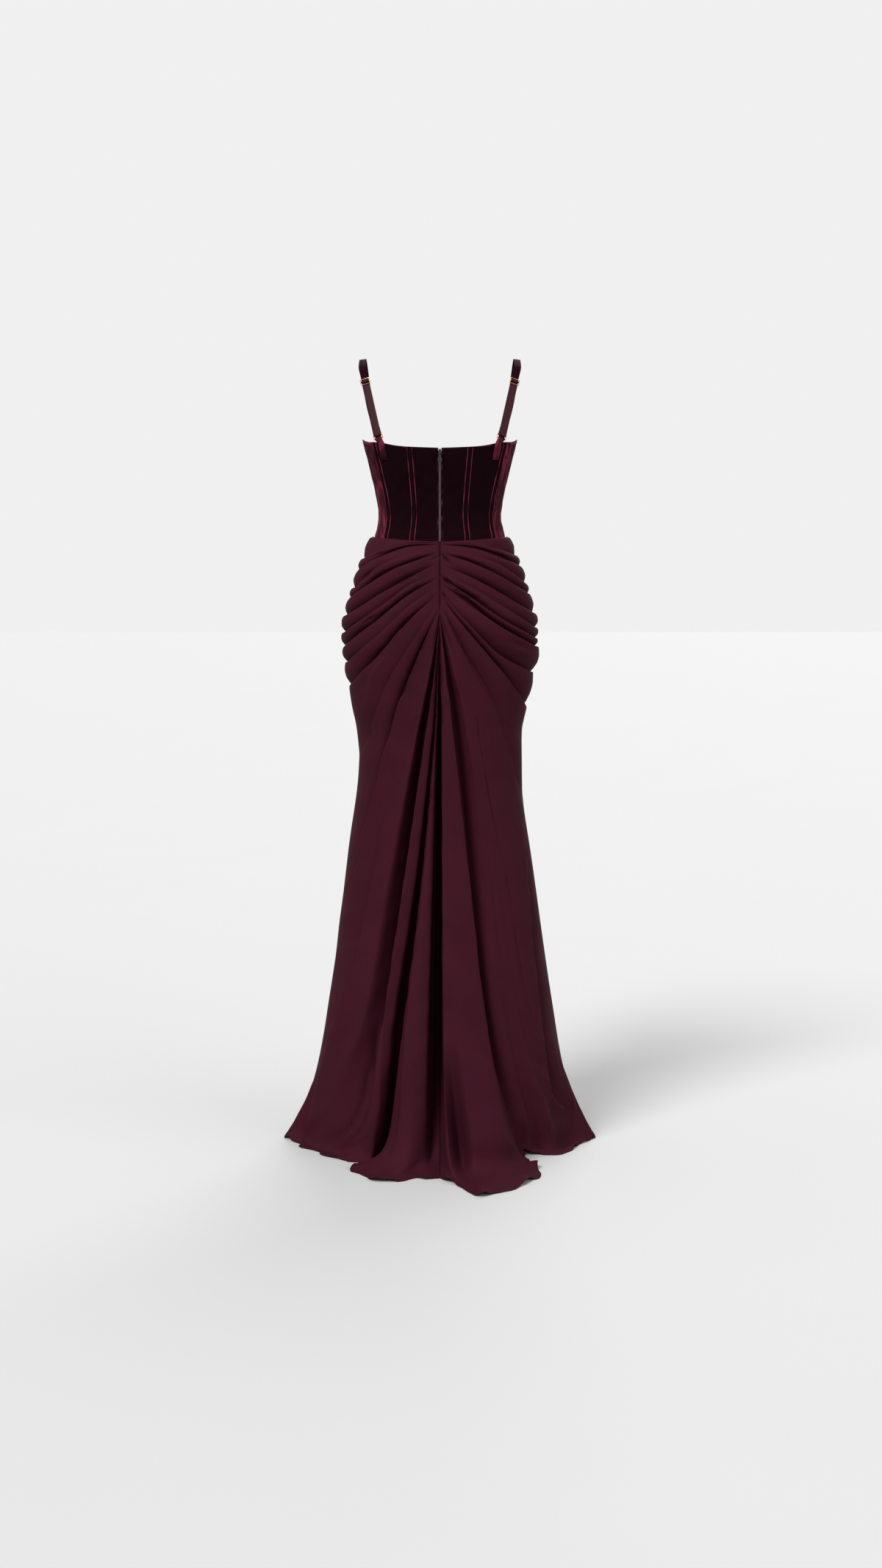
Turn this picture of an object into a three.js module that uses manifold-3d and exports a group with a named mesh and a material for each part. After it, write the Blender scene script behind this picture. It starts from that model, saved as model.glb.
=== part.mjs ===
// Draped maxi dress in its worn, filled-out form with nobody in it.
// Millimetres, +Z up. The photographed back faces -Y and the wearer's front faces +Y.
// The origin lies between the two shoulder straps, where the wearer carries the dress.
// Heights in the tables are measured up from the floor that the hem reaches.
import * as THREE from 'three';
import { mergeVertices } from 'three/addons/utils/BufferGeometryUtils.js';
import Module from 'manifold-3d';

const shoulderHeight = 1535;
const seamGap = 0.3;
const chiffonWall = 2;
const velvetWall = 2;
const rimFold = 3;

// Squareness of a level section: 2 is an ellipse, more is boxier.
const skirtSquareness = 2.2;
const bodiceSquareness = 2.5;

// Half width across, and depth behind and before the side seams, of each level section.
const bodiceForm = [
  { height: 1170, half: 126, back: 78, front: 102 },
  { height: 1199, half: 127, back: 79, front: 103 },
  { height: 1214, half: 123, back: 77, front: 100 },
  { height: 1240, half: 119, back: 78, front: 99 },
  { height: 1271, half: 123, back: 83, front: 103 },
  { height: 1316, half: 133, back: 94, front: 114 },
  { height: 1361, half: 144, back: 104, front: 122 },
  { height: 1383, half: 150, back: 108, front: 120 },
];
const skirtForm = [
  { height: 0, half: 312, back: 200, front: 205 },
  { height: 30, half: 288, back: 197, front: 196 },
  { height: 73, half: 267, back: 194, front: 186 },
  { height: 148, half: 246, back: 188, front: 174 },
  { height: 298, half: 220, back: 173, front: 155 },
  { height: 446, half: 198, back: 158, front: 137 },
  { height: 593, half: 178, back: 145, front: 121 },
  { height: 740, half: 159, back: 134, front: 110 },
  { height: 812, half: 157, back: 131, front: 107 },
  { height: 870, half: 168, back: 130, front: 106 },
  { height: 950, half: 183, back: 131, front: 106 },
  { height: 1020, half: 188, back: 131, front: 110 },
  { height: 1089, half: 173, back: 118, front: 114 },
  { height: 1157, half: 151, back: 98, front: 111 },
  { height: 1185, half: 139, back: 86, front: 108 },
  { height: 1199, half: 134, back: 83, front: 106 },
];

// Top edge of the bodice and the waist seam, by angle from the centre back.
const topEdge = [
  { angle: 0, height: 1365 },
  { angle: 25, height: 1368.5 },
  { angle: 50, height: 1377 },
  { angle: 72, height: 1379 },
  { angle: 90, height: 1386 },
  { angle: 120, height: 1384 },
  { angle: 155, height: 1377 },
  { angle: 180, height: 1368 },
];
const waistSeam = [
  { angle: 0, height: 1189 },
  { angle: 40, height: 1194 },
  { angle: 90, height: 1199 },
  { angle: 180, height: 1189 },
];
const waistLap = 6;
const panelRows = 8;

// Seam lines of the bodice, as angles from the centre back at the top and at the waist.
const seams = {
  inner: { top: 18.5, waist: 19.5 },
  outer: { top: 54.5, waist: 50.5 },
  side: { top: 112, waist: 112 },
  princess: { top: 150, waist: 154 },
};
const bust = { angle: 143, angleSpread: 20, height: 1336, heightSpread: 30, swell: 13 };

// A swag is one roll of cloth drawn from the centre-back seam to the side seam.
// Its crest starts at height seam, passes near and far ([across, height]) and ends at side.
// rise is how far the crest stands out, and dip the crease above it, on the way.
// rolls counts the lines that round the cloth between the crest above and this crease.
const leftSwags = [
  { seam: 1183, near: [54, 1178], far: [110, 1161], side: 1132, rise: [3, 5, 3], dip: [1, 2, 1] },
  { seam: 1176, near: [54, 1163], far: [112, 1142], side: 1099, rise: [2, 3, 4], dip: [0, 1, 5] },
  { seam: 1169, near: [54, 1148], far: [106, 1127], side: 1078, rise: [5, 6, 4], dip: [6, 6, 5] },
  { seam: 1150, near: [54, 1121], far: [110, 1090], side: 1045, rise: [6, 8, 5], dip: [6, 7, 6] },
  { seam: 1132, near: [54, 1106], far: [115, 1062], side: 1012, rise: [2, 4, 5], dip: [0, 3, 5] },
  { seam: 1121, near: [54, 1090], far: [113, 1045], side: 984, rise: [7, 6, 5], dip: [6, 9, 5] },
  { seam: 1093, near: [54, 1043], far: [108, 982], side: 908, rise: [7, 7, 5], dip: [6, 8, 5] },
  { seam: 1066, near: [59, 928], far: [105, 790], side: 500, rise: [7, 5, 1], dip: [8, 4, 0], rolls: 6 },
];
const rightSwags = [
  { seam: 1183, near: [58, 1176], far: [115, 1160], side: 1141, rise: [4, 5, 4], dip: [2, 2, 1] },
  { seam: 1168, near: [58, 1148], far: [114, 1122], side: 1089, rise: [6, 6, 4], dip: [6, 5, 4] },
  { seam: 1146, near: [58, 1120], far: [114, 1091], side: 1045, rise: [6, 7, 5], dip: [4, 6, 5] },
  { seam: 1121, near: [58, 1083], far: [114, 1044], side: 1005, rise: [7, 5, 3], dip: [9, 4, 3] },
  { seam: 1111, near: [58, 1068], far: [116, 1025], side: 985, rise: [4, 9, 8], dip: [7, 11, 7] },
  { seam: 1097, near: [46, 1041], far: [112, 974], side: 935, rise: [5, 6, 3], dip: [4, 6, 4] },
  { seam: 1088, near: [50, 1022], far: [118, 940], side: 868, rise: [5, 8, 7], dip: [5, 6, 3] },
  { seam: 1070, near: [50, 965], far: [120, 822], side: 690, rise: [5, 4, 0], dip: [6, 4, 0], rolls: 6 },
];
const creaseWidth = 8;
const narrowRolls = 2;

// A fall is one long fold line from the gather at the centre back down to the hem.
// across and rise hold its place at the heights below; toe and hem are [across, behind, height].
const fallHeights = [948, 823, 545, 262];
const gather = { top: 1060, bottom: 1044, tuck: 4 };
const leftFalls = [
  { across: [21.5, 48.5, 112, 170], rise: [0, 0, 0, 0], toe: [262, 45, 55], hem: [291, 31, 0] },
  { across: [19, 45, 98, 148], rise: [1, 1, 1, 4], toe: [226, 90, 50], hem: [262, 78, 0] },
  { across: [17, 41, 87, 133], rise: [-2, -4, -6, -6], toe: [188, 130, 44], hem: [222, 128, 0] },
  { across: [14, 35, 74, 118], rise: [-7, -15, -22, -14], toe: [148, 152, 40], hem: [184, 160, 0] },
  { across: [9.5, 27, 66, 106], rise: [0, 6, 12, 13], toe: [128, 180, 46], hem: [164, 170, 0] },
  { across: [6.5, 15.5, 47, 91], rise: [-3, 0, 2, 3], toe: [115, 165, 40], hem: [136, 146, 0] },
  { across: [5.2, 12.5, 39.5, 79], rise: [-6, -10, -24, -30], toe: [100, 138, 36], hem: [108, 142, 0] },
  { across: [4.2, 10.5, 35.5, 73], rise: [-6, -6, -4, -6], toe: [108, 186, 24], hem: [160, 212, 0] },
  { across: [3.3, 8.4, 30.5, 63], rise: [-6, 1, 16, 22], toe: [88, 230, 28], hem: [120, 286, 0] },
  { across: [2.6, 6.8, 23, 44], rise: [-7, 0, 16, 25], toe: [64, 238, 34], hem: [90, 302, 0] },
  { across: [1.9, 5.2, 14.5, 23], rise: [-8, -5, 8, 14], toe: [28, 216, 36], hem: [53, 269, 0] },
  { across: [1.1, 2.8, 7.5, 12], rise: [-9, -12, -22, -30], toe: [13, 190, 22], hem: [26, 282, 0] },
];
const rightFalls = [
  { across: [35, 71, 121, 167], rise: [0, 0, 0, 0], toe: [250, 62, 50], hem: [290, 34, 0] },
  { across: [33, 68, 116, 160], rise: [0, 0, -2, -5], toe: [232, 88, 44], hem: [266, 62, 0] },
  { across: [31, 65, 112, 154], rise: [0, 0, 3, 7], toe: [216, 118, 56], hem: [246, 112, 0] },
  { across: [29.5, 62, 107, 147], rise: [2, 2, 0, -2], toe: [200, 120, 46], hem: [226, 124, 0] },
  { across: [28, 59, 101, 138], rise: [-2, -3, -1, -5], toe: [186, 118, 46], hem: [204, 114, 0] },
  { across: [25.5, 54, 92, 125], rise: [1, 1, 0, 1], toe: [172, 132, 56], hem: [188, 108, 6] },
  { across: [22, 47, 80, 109], rise: [-3, -6, -6, -5], toe: [158, 136, 52], hem: [172, 110, 14] },
  { across: [15.5, 34, 62, 94], rise: [-12, -17, -16, -14], toe: [144, 142, 40], hem: [156, 122, 2] },
  { across: [13, 29, 58.5, 91], rise: [-3, -4, 0, 3], toe: [150, 176, 24], hem: [186, 188, 0] },
  { across: [11, 25.5, 54.5, 87], rise: [5, 10, 15, 19], toe: [134, 220, 28], hem: [186, 262, 0] },
  { across: [9, 19, 40, 62], rise: [7, 13, 19, 27], toe: [102, 246, 32], hem: [140, 326, 0] },
  { across: [6, 10, 20, 30], rise: [7, 12, 20, 30], toe: [64, 262, 34], hem: [74, 378, 0] },
  { across: [3.4, 4.2, 5, 6.5], rise: [3, 8, 16, 20], toe: [16, 256, 30], hem: [36, 322, 0] },
];
const centreFall = {
  across: [0, 0, 0, 0], rise: [-10, -20, -40, -50], toe: [0, 196, 18], hem: [0, 270, 0],
};
// The lowest line of the side region: its places across at the heights of the falls and at its
// knee. It ends where the side seam meets the floor.
const sideKnee = 115;
const sideFalls = {
  left: [24, 52, 130, 194, 248],
  right: [37, 74, 126, 177, 247],
};
// How far each line of the side region is turned from the last swag to the side fall.
const fanShares = [0.1, 0.25, 0.42, 0.6, 0.8];
// Steps along a line, in sixths of it.
const lineSteps = [0, 0.35, 1, 1.5, 2, 2.5, 3, 3.5, 4, 4.5, 5, 5.5, 6];
// How strongly the wall of a long fall follows the cloth's own slope, not the plain form's.
const ownShare = 3;

const front = { columns: 18, sag: 30, waves: 4, hemWave: 13, waveTop: 800, swagFade: 1.4 };

// A boning channel runs between two shares of the panel's height.
const channel = { width: 10.5, thickness: 1.2, from: 0.05, to: 0.996 };

const tape = { width: 15.5, satin: 1.2, velvet: 1.8, tab: 1.4 };
const loopCorner = { outside: 1.8, window: 0.6 };
const ring = { height: 9, wire: 1.6 };
const slider = { bars: 5, wire: 1.4 };
// Distances up the strap: where the satin's folded end stops, starts and crosses below the ring,
// where it comes straight to the slider, and where the velvet leaves the slider.
const satinFold = { end: 14, start: 8, cross: 4 };
const satinStraight = 5;
const velvetRise = [14, 30];
// The tab's foot as a share of the panel's height, the middles of the ring and the slider, and
// the strap's way over the shoulder to the front edge.
const strapPlaces = {
  tab: { across: 112.5, foot: 0.83, bar: 1383 },
  ring: [117.5, -74, 1387],
  slider: [141.5, -46, 1492],
  shoulder: [148.5, -2, 1536],
  overTop: [147.5, 17, 1531],
  front: [137.5, 50, 1458],
};
const strapFrontAngle = 128;
// Heights over the front edge where the velvet comes in, passes the edge and ends.
const sewnHeights = [8, 0, -10];
// A flat strap needs this much room inside the panel's curve.
const strapHollow = 1.8;

const zip = { gap: 2.6, tapeWall: 1.6, sink: 0.2, top: 1363, sliderHeight: 1355 };
const zipSlider = {
  width: 7, length: 10, depth: 2.6, corner: 2, pin: 0.7, pinRise: 1.5,
  lugReach: 2.5, lugGap: 1.7, lugWall: 1, lugHeight: 3, lugTip: 0.5,
};
const pull = {
  bore: 1.1, knuckle: 2.1, width: 2.8, top: 1.55, neck: 3.4, length: 18.5, bulb: 4.3, waist: 4, wall: 1.3,
};

const colours = {
  velvet: 0x2b0a14,
  satin: 0x5a2430,
  chiffon: 0x3d1722,
  roseGold: 0xc79a86,
  gold: 0xc9a36a,
  zipTape: 0x5b4a50,
  zipMetal: 0x55524f,
};

const degrees = Math.PI / 180;
const lerp = (a, b, share) => a + (b - a) * share;
const clamp = (value, low, high) => Math.min(high, Math.max(low, value));
const upright = (height) => height - shoulderHeight;

// A smooth value read from a table's column, with no overshoot between its rows.
function smooth(rows, key, column) {
  const xs = rows.map((row) => row[key]);
  const ys = rows.map((row) => row[column]);
  const slopes = xs.slice(1).map((x, i) => (ys[i + 1] - ys[i]) / (x - xs[i]));
  const tangents = xs.map((x, i) => {
    if (i === 0) return slopes[0];
    if (i === xs.length - 1) return slopes[i - 1];
    const product = slopes[i - 1] * slopes[i];
    return product <= 0 ? 0 : (2 * product) / (slopes[i - 1] + slopes[i]);
  });
  return (x) => {
    if (x <= xs[0]) return ys[0];
    if (x >= xs[xs.length - 1]) return ys[ys.length - 1];
    const i = xs.findIndex((value, at) => x < xs[at + 1]);
    const step = xs[i + 1] - xs[i];
    const p = (x - xs[i]) / step;
    const curve = (2 * p - 3) * p * p;
    return ys[i] * (1 + curve) - ys[i + 1] * curve
      + step * (tangents[i] * p * (1 - p) * (1 - p) - tangents[i + 1] * p * p * (1 - p));
  };
}

function sectionForm(rows, squareness) {
  const half = smooth(rows, 'height', 'half');
  const back = smooth(rows, 'height', 'back');
  const ahead = smooth(rows, 'height', 'front');
  // angle: 0 at the centre back, +90 at the right side seam, 180 at the centre front.
  const point = (angle, height, out = 0) => {
    const turn = angle * degrees;
    const across = Math.sin(turn);
    const along = Math.cos(turn);
    const wide = half(height);
    const deep = along >= 0 ? back(height) : ahead(height);
    const x = Math.sign(across) * Math.abs(across) ** (2 / squareness);
    const y = -Math.sign(along) * Math.abs(along) ** (2 / squareness);
    const normal = new THREE.Vector2(
      (Math.sign(x) * Math.abs(x) ** (squareness - 1)) / wide,
      (Math.sign(y) * Math.abs(y) ** (squareness - 1)) / deep,
    ).normalize();
    return new THREE.Vector3(x * wide + normal.x * out, y * deep + normal.y * out, upright(height));
  };
  const angleAt = (across, height) => {
    const share = clamp(Math.abs(across) / half(height), 0, 1) ** (squareness / 2);
    return Math.asin(share) / degrees;
  };
  // The level normal of the plain form beside a point.
  const way = (spot) => {
    const height = spot.z + shoulderHeight;
    const wide = half(height);
    const deep = spot.y > 0 ? ahead(height) : back(height);
    return new THREE.Vector3(
      (Math.sign(spot.x) * Math.abs(spot.x / wide) ** (squareness - 1)) / wide,
      (Math.sign(spot.y) * Math.abs(spot.y / deep) ** (squareness - 1)) / deep,
      0,
    ).normalize();
  };
  return { point, angleAt, half, way };
}

const skirt = sectionForm(skirtForm, skirtSquareness);
const bodiceBase = sectionForm(bodiceForm, bodiceSquareness);
const topAt = smooth(topEdge, 'angle', 'height');
const waistAt = smooth(waistSeam, 'angle', 'height');
const bell = (distance) => Math.exp(-distance * distance);

function bodicePoint(angle, height, out = 0) {
  const aside = Math.abs(angle);
  const swell = bust.swell * bell((aside - bust.angle) / bust.angleSpread)
    * bell((height - bust.height) / bust.heightSpread);
  return bodiceBase.point(angle, height, out + swell);
}

// A closed cloth wall from a grid of { outer, inner } points.
function wallGeometry(grid) {
  const rows = grid.length;
  const columns = grid[0].length;
  const positions = [];
  for (const side of ['outer', 'inner']) {
    for (const row of grid) {
      for (const spot of row) positions.push(...spot[side].toArray());
    }
  }
  const outer = (i, j) => i * columns + j;
  const inner = (i, j) => rows * columns + i * columns + j;
  const index = [];
  const face = (a, b, c, d) => index.push(a, b, c, a, c, d);
  for (let i = 0; i < rows - 1; i += 1) {
    for (let j = 0; j < columns - 1; j += 1) {
      const [a, b] = [grid[i][j].outer, grid[i][j + 1].outer];
      const [d, c] = [grid[i + 1][j].outer, grid[i + 1][j + 1].outer];
      const corners = [[i, j], [i, j + 1], [i + 1, j + 1], [i + 1, j]];
      if (a.distanceToSquared(c) > b.distanceToSquared(d)) corners.push(corners.shift());
      face(...corners.map(([m, n]) => outer(m, n)));
      face(...corners.map(([m, n]) => inner(m, n)).reverse().map((v, k, all) => all[(k + 3) % 4]));
    }
  }
  const rim = (cells) => {
    for (let k = 0; k < cells.length - 1; k += 1) {
      const [m, n] = [cells[k], cells[k + 1]];
      face(outer(...n), outer(...m), inner(...m), inner(...n));
    }
  };
  const steps = (count) => [...Array(count).keys()];
  rim(steps(columns).map((j) => [0, j]));
  rim(steps(rows).map((i) => [i, columns - 1]));
  rim(steps(columns).map((j) => [rows - 1, columns - 1 - j]));
  rim(steps(rows).map((i) => [rows - 1 - i, 0]));
  return closedGeometry(positions, index);
}

// Turns the faces outward by the sign of the solid's volume.
function closedGeometry(positions, index) {
  const [a, b, c] = [new THREE.Vector3(), new THREE.Vector3(), new THREE.Vector3()];
  let volume = 0;
  for (let k = 0; k < index.length; k += 3) {
    a.fromArray(positions, index[k] * 3);
    b.fromArray(positions, index[k + 1] * 3);
    c.fromArray(positions, index[k + 2] * 3);
    volume += a.dot(b.cross(c));
  }
  const turned = volume > 0 ? index : [...index].reverse();
  const geometry = new THREE.BufferGeometry();
  geometry.setAttribute('position', new THREE.Float32BufferAttribute(positions, 3));
  geometry.setIndex(turned);
  return geometry;
}

// A curve through key values at whole steps, read at any share from 0 to 1.
function through(keys) {
  const last = keys.length - 1;
  return (share) => {
    const at = clamp(share * last, 0, last);
    const i = Math.min(Math.floor(at), last - 1);
    const p = at - i;
    const before = keys[Math.max(i - 1, 0)];
    const after = keys[Math.min(i + 2, last)];
    const [from, to] = [keys[i], keys[i + 1]];
    return 0.5 * (2 * from + (to - before) * p + (2 * before - 5 * from + 4 * to - after) * p * p
      + (3 * from - before - 3 * to + after) * p * p * p);
  };
}

// A fold line: functions of the share along it that give its angle, height and rise.
function foldLine(angles, heights, rises) {
  return { angle: through(angles), height: through(heights), rise: through(rises) };
}

// A swag falls from the gather to the side seam: its height is read by how far across it has come.
function swagLine(swag, lift, rises) {
  const places = [swag.near, swag.far].map(([across, height]) => [across, height + lift]);
  const angle = through([0, ...places.map((place) => skirt.angleAt(...place)), 90]);
  const heightAt = smooth([
    { share: 0, height: swag.seam + lift * 0.25 },
    ...places.map(([across, height]) => ({ share: across / skirt.half(height), height })),
    { share: 1, height: swag.side + lift * 0.8 },
  ], 'share', 'height');
  const shareAt = (t) => Math.sin(clamp(angle(t), 0, 90) * degrees) ** (2 / skirtSquareness);
  return { angle, height: (t) => heightAt(shareAt(t)), rise: through([-gather.tuck, ...rises]) };
}

function blendLines(first, second, share, rise) {
  return {
    angle: (t) => lerp(first.angle(t), second.angle(t), share),
    height: (t) => lerp(first.height(t), second.height(t), share),
    rise,
  };
}

const pointsOf = (line, hand) => lineSteps.map((step) => {
  const t = step / 6;
  return skirt.point(hand * clamp(line.angle(t), 0, 90), line.height(t), line.rise(t));
});

// The waist edge, then for each swag the roll above it, its crease and its crest.
function swagLines(swags, hand) {
  const top = { seam: 1189, near: [54, 1192], far: [96, 1195], side: 1199 };
  let above = swagLine(top, 0, [0, 0, 0]);
  const lines = [pointsOf(above, hand)];
  for (const swag of swags) {
    const crease = swagLine(swag, creaseWidth, swag.dip.map((value) => -value));
    const { rolls = narrowRolls } = swag;
    for (let k = 1; k <= rolls; k += 1) {
      const held = above;
      const along = k / (rolls + 0.8);
      const rise = (t) => lerp(held.rise(t), crease.rise(t), along * along);
      lines.push(pointsOf(blendLines(held, crease, along, rise), hand));
    }
    const crest = swagLine(swag, 0, swag.rise);
    lines.push(pointsOf(crease, hand), pointsOf(crest, hand));
    above = crest;
  }
  return { lines, last: above };
}

// Lines of the side region, from below the last swag down the side seam to the floor.
function fanLines(last, side, hand) {
  const heights = [gather.top, ...fallHeights, sideKnee, 0];
  const angles = [0, ...side].map((across, i) => skirt.angleAt(across, heights[i]));
  const lowest = foldLine([...angles, 90], heights, [-gather.tuck, 0, 0, 0, 0, 0, 0]);
  const lines = fanShares.map((share) => {
    const rise = (t) => last.rise(t) * (1 - share) ** 3;
    return pointsOf(blendLines(last, lowest, share, rise), hand);
  });
  return [...lines, pointsOf(lowest, hand)];
}

function spacePoint(hand, [across, behind, height]) {
  return new THREE.Vector3(hand * across, -behind, upright(height));
}

// A long fold line, as points in space from the gather to the hem.
function fallPoints(fall, seamHeight, hand) {
  const start = skirt.point(0, seamHeight, -gather.tuck);
  const middle = fall.across.map((across, i) => (
    skirt.point(hand * skirt.angleAt(across, fallHeights[i]), fallHeights[i], fall.rise[i])));
  const keys = [start, ...middle, spacePoint(hand, fall.toe), spacePoint(hand, fall.hem)];
  const [x, y, z] = ['x', 'y', 'z'].map((axis) => through(keys.map((key) => key[axis])));
  const [toe, hem] = keys.slice(-2);
  return lineSteps.map((step) => (step > 5
    ? toe.clone().lerp(hem, step - 5)
    : new THREE.Vector3(x(step / 6), y(step / 6), z(step / 6))));
}

function fallLines(falls, hand) {
  const rows = [...falls, centreFall];
  return rows.map((fall, i) => {
    const seamHeight = lerp(gather.top, gather.bottom, (i + 1) / rows.length);
    return fallPoints(fall, seamHeight, hand);
  });
}

// The way out of the cloth at each point: that of the plain form near the gather and in the
// drape, where the folds are narrow, and mostly the cloth's own normal in the long falls.
function outwardWays(lines, firstFall, hand) {
  const facing = lines.slice(1).map((line, i) => line.slice(1).map((corner, j) => {
    const rising = corner.clone().sub(lines[i][j]);
    const falling = line[j].clone().sub(lines[i][j + 1]);
    return rising.cross(falling).multiplyScalar(-hand).normalize();
  }));
  return lines.map((line, i) => line.map((point, j) => {
    const own = new THREE.Vector3();
    for (const row of facing.slice(Math.max(i - 1, 0), i + 1)) {
      for (const normal of row.slice(Math.max(j - 1, 0), j + 1)) own.add(normal);
    }
    const weight = i < firstFall ? 0 : ownShare * clamp(lineSteps[j] / 3 - 1 / 3, 0, 1);
    return own.normalize().multiplyScalar(weight).add(skirt.way(point)).normalize();
  }));
}

// One back half of the skirt. hand is -1 for the photograph's left and +1 for its right.
function backHalf(hand, swags, falls, side) {
  const { lines: drape, last } = swagLines(swags, hand);
  const lines = [...drape, ...fanLines(last, side, hand), ...fallLines(falls, hand)];
  const sideRows = drape.length + fanShares.length + 1;
  const ways = outwardWays(lines, sideRows, hand);
  const end = lineSteps.length - 1;
  const edge = seamGap / 2;
  return {
    sideLine: lines.slice(0, sideRows).map((line) => line[end]),
    grid: lines.map((line, i) => line.map((point, j) => {
      const way = ways[i][j];
      const outer = point.clone();
      const atSide = i < sideRows && j === end;
      if (atSide) way.set(hand, 0, 0);
      if (j === 0) way.set(0, Math.min(way.y, -0.5), way.z).normalize();
      let inner = outer.clone().addScaledVector(way, -chiffonWall);
      if (i === 0) {
        const angle = hand * skirt.angleAt(outer.x, outer.z + shoulderHeight);
        const height = outer.z + shoulderHeight;
        outer.copy(bodicePoint(angle, height, seamGap + rimFold));
        inner = bodicePoint(angle, height, seamGap);
      }
      const floor = upright(0);
      const atHem = (i >= sideRows && j === end) || (atSide && i === sideRows - 1);
      if (atHem && point.z < floor + 1) {
        outer.z = floor + Math.max(0, way.z) * chiffonWall;
        inner.z = floor + Math.max(0, -way.z) * chiffonWall;
      }
      inner.z = Math.max(inner.z, floor);
      outer.z = Math.max(outer.z, floor);
      for (const spot of [outer, inner]) {
        spot.x = hand * (j === 0 ? edge : Math.max(edge, spot.x * hand));
        spot.y = atSide ? -edge : Math.min(spot.y, -edge);
      }
      return { outer, inner };
    })),
  };
}

const halves = {
  left: backHalf(-1, leftSwags, leftFalls, sideFalls.left),
  right: backHalf(1, rightSwags, rightFalls, sideFalls.right),
};

// The front carries the side folds round and lets them fade towards its middle.
function frontGrid(leftLine, rightLine) {
  const shares = [...Array(front.columns + 1).keys()].map((k) => k / front.columns);
  const edge = seamGap / 2;
  return leftLine.map((leftEnd, i) => {
    const rightEnd = rightLine[i];
    const [leftHeight, rightHeight] = [leftEnd.z + shoulderHeight, rightEnd.z + shoulderHeight];
    return shares.map((share) => {
      const turn = -90 - 180 * share;
      const inwards = Math.sin(share * Math.PI);
      const even = lerp(leftHeight, rightHeight, share * share * (3 - 2 * share));
      const sag = front.sag * clamp(even / 500 - 0.4, 0, 1);
      const drop = even > waistAt(180) ? even - waistAt(180) : sag;
      const height = i === 0 ? waistAt(90 + 90 * inwards) : Math.max(even - drop * inwards, 0);
      const held = share < 0.5
        ? -leftEnd.x - skirt.half(leftHeight)
        : rightEnd.x - skirt.half(rightHeight);
      const low = clamp(1 - height / front.waveTop, 0, 1);
      const wave = front.hemWave * low * inwards * Math.cos(share * Math.PI * 2 * front.waves);
      const out = held * (1 - inwards) ** front.swagFade + wave;
      const make = (form, distance) => form(turn, height, distance);
      const outer = i === 0 ? make(bodicePoint, seamGap + rimFold) : make(skirt.point, out);
      const inner = i === 0 ? make(bodicePoint, seamGap) : make(skirt.point, out - chiffonWall);
      for (const spot of [outer, inner]) {
        spot.y = inwards < 1e-6 ? edge : Math.max(spot.y, edge);
      }
      return { outer, inner };
    });
  });
}

// One panel of the bodice between two seams, each given as an angle at a height.
function panelGrid({ from, to, columns, rows, inset = [seamGap / 2, seamGap / 2] }) {
  const perDegree = (angle, height) => (
    bodicePoint(angle, height).distanceTo(bodicePoint(angle + 1, height)));
  return [...Array(rows + 1).keys()].map((i) => [...Array(columns + 1).keys()].map((j) => {
    let height = lerp(waistAt(90), topAt(90), i / rows);
    let angle = from(height);
    // The angle and the height hang on each other, and settle in a few passes.
    for (let pass = 0; pass < 6; pass += 1) {
      const [low, high] = [from(height), to(height)];
      const start = low + inset[0] / perDegree(low, height);
      const end = high - inset[1] / perDegree(high, height);
      angle = lerp(start, end, j / columns);
      height = lerp(waistAt(Math.abs(angle)) - waistLap, topAt(Math.abs(angle)), i / rows);
    }
    return { outer: bodicePoint(angle, height), inner: bodicePoint(angle, height, -velvetWall) };
  }));
}

const seamAngle = ({ top, waist }) => (height) => {
  const share = (height - waistAt(0)) / (topAt(0) - waistAt(0));
  return lerp(waist, top, clamp(share, 0, 1));
};

// A point on the facets of a panel: share runs from its lower edge to its top edge.
function facetPoint(angle, share, out) {
  const aside = Math.abs(angle);
  const row = Math.min(Math.floor(share * panelRows), panelRows - 1);
  const ends = [row, row + 1].map((count) => {
    const height = lerp(waistAt(aside) - waistLap, topAt(aside), count / panelRows);
    return bodicePoint(angle, height, out);
  });
  return ends[0].lerp(ends[1], share * panelRows - row);
}

// A raised strip that follows a seam, with its edges half a width to either side.
function channelGrid(hand, angleOf) {
  const { width, thickness, from, to } = channel;
  const shares = [...Array(panelRows + 1).keys()].map((i) => clamp(i / panelRows, from, to));
  return shares.map((share) => [-1, 0, 1].map((across) => {
    const height = lerp(waistAt(45) - waistLap, topAt(45), share);
    const aside = angleOf(height);
    const perDegree = bodicePoint(aside, height).distanceTo(bodicePoint(aside + 1, height));
    const angle = hand * (aside + (across * width) / 2 / perDegree);
    return {
      outer: facetPoint(angle, share, seamGap + thickness),
      inner: facetPoint(angle, share, seamGap),
    };
  }));
}

// A flat tape swept along stations of { at, across, out }, closed at both ends.
function tapeGeometry(stations, width, thickness) {
  const corners = [[-1, -1], [1, -1], [1, 1], [-1, 1]];
  const positions = [];
  for (const { at, across, out } of stations) {
    for (const [side, face] of corners) {
      const spot = at.clone().addScaledVector(across, (side * width) / 2);
      positions.push(...spot.addScaledVector(out, (face * thickness) / 2).toArray());
    }
  }
  const index = [0, 2, 1, 0, 3, 2];
  for (let i = 0; i < stations.length - 1; i += 1) {
    for (let k = 0; k < 4; k += 1) {
      const [a, b] = [i * 4 + k, i * 4 + ((k + 1) % 4)];
      index.push(a, b, b + 4, a, b + 4, a + 4);
    }
  }
  const end = (stations.length - 1) * 4;
  index.push(end, end + 1, end + 2, end, end + 2, end + 3);
  return closedGeometry(positions, index);
}

// A squared tape lies at right angles to its way; the other keeps its edges' given direction.
function tapeStations(points, acrosses, squared = true) {
  return points.map((at, i) => {
    const tangent = points[Math.min(i + 1, points.length - 1)].clone()
      .sub(points[Math.max(i - 1, 0)]).normalize();
    const lean = squared ? acrosses[i].dot(tangent) : 0;
    const across = acrosses[i].clone().addScaledVector(tangent, -lean).normalize();
    return { at, across, out: tangent.clone().cross(across).normalize() };
  });
}

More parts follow.
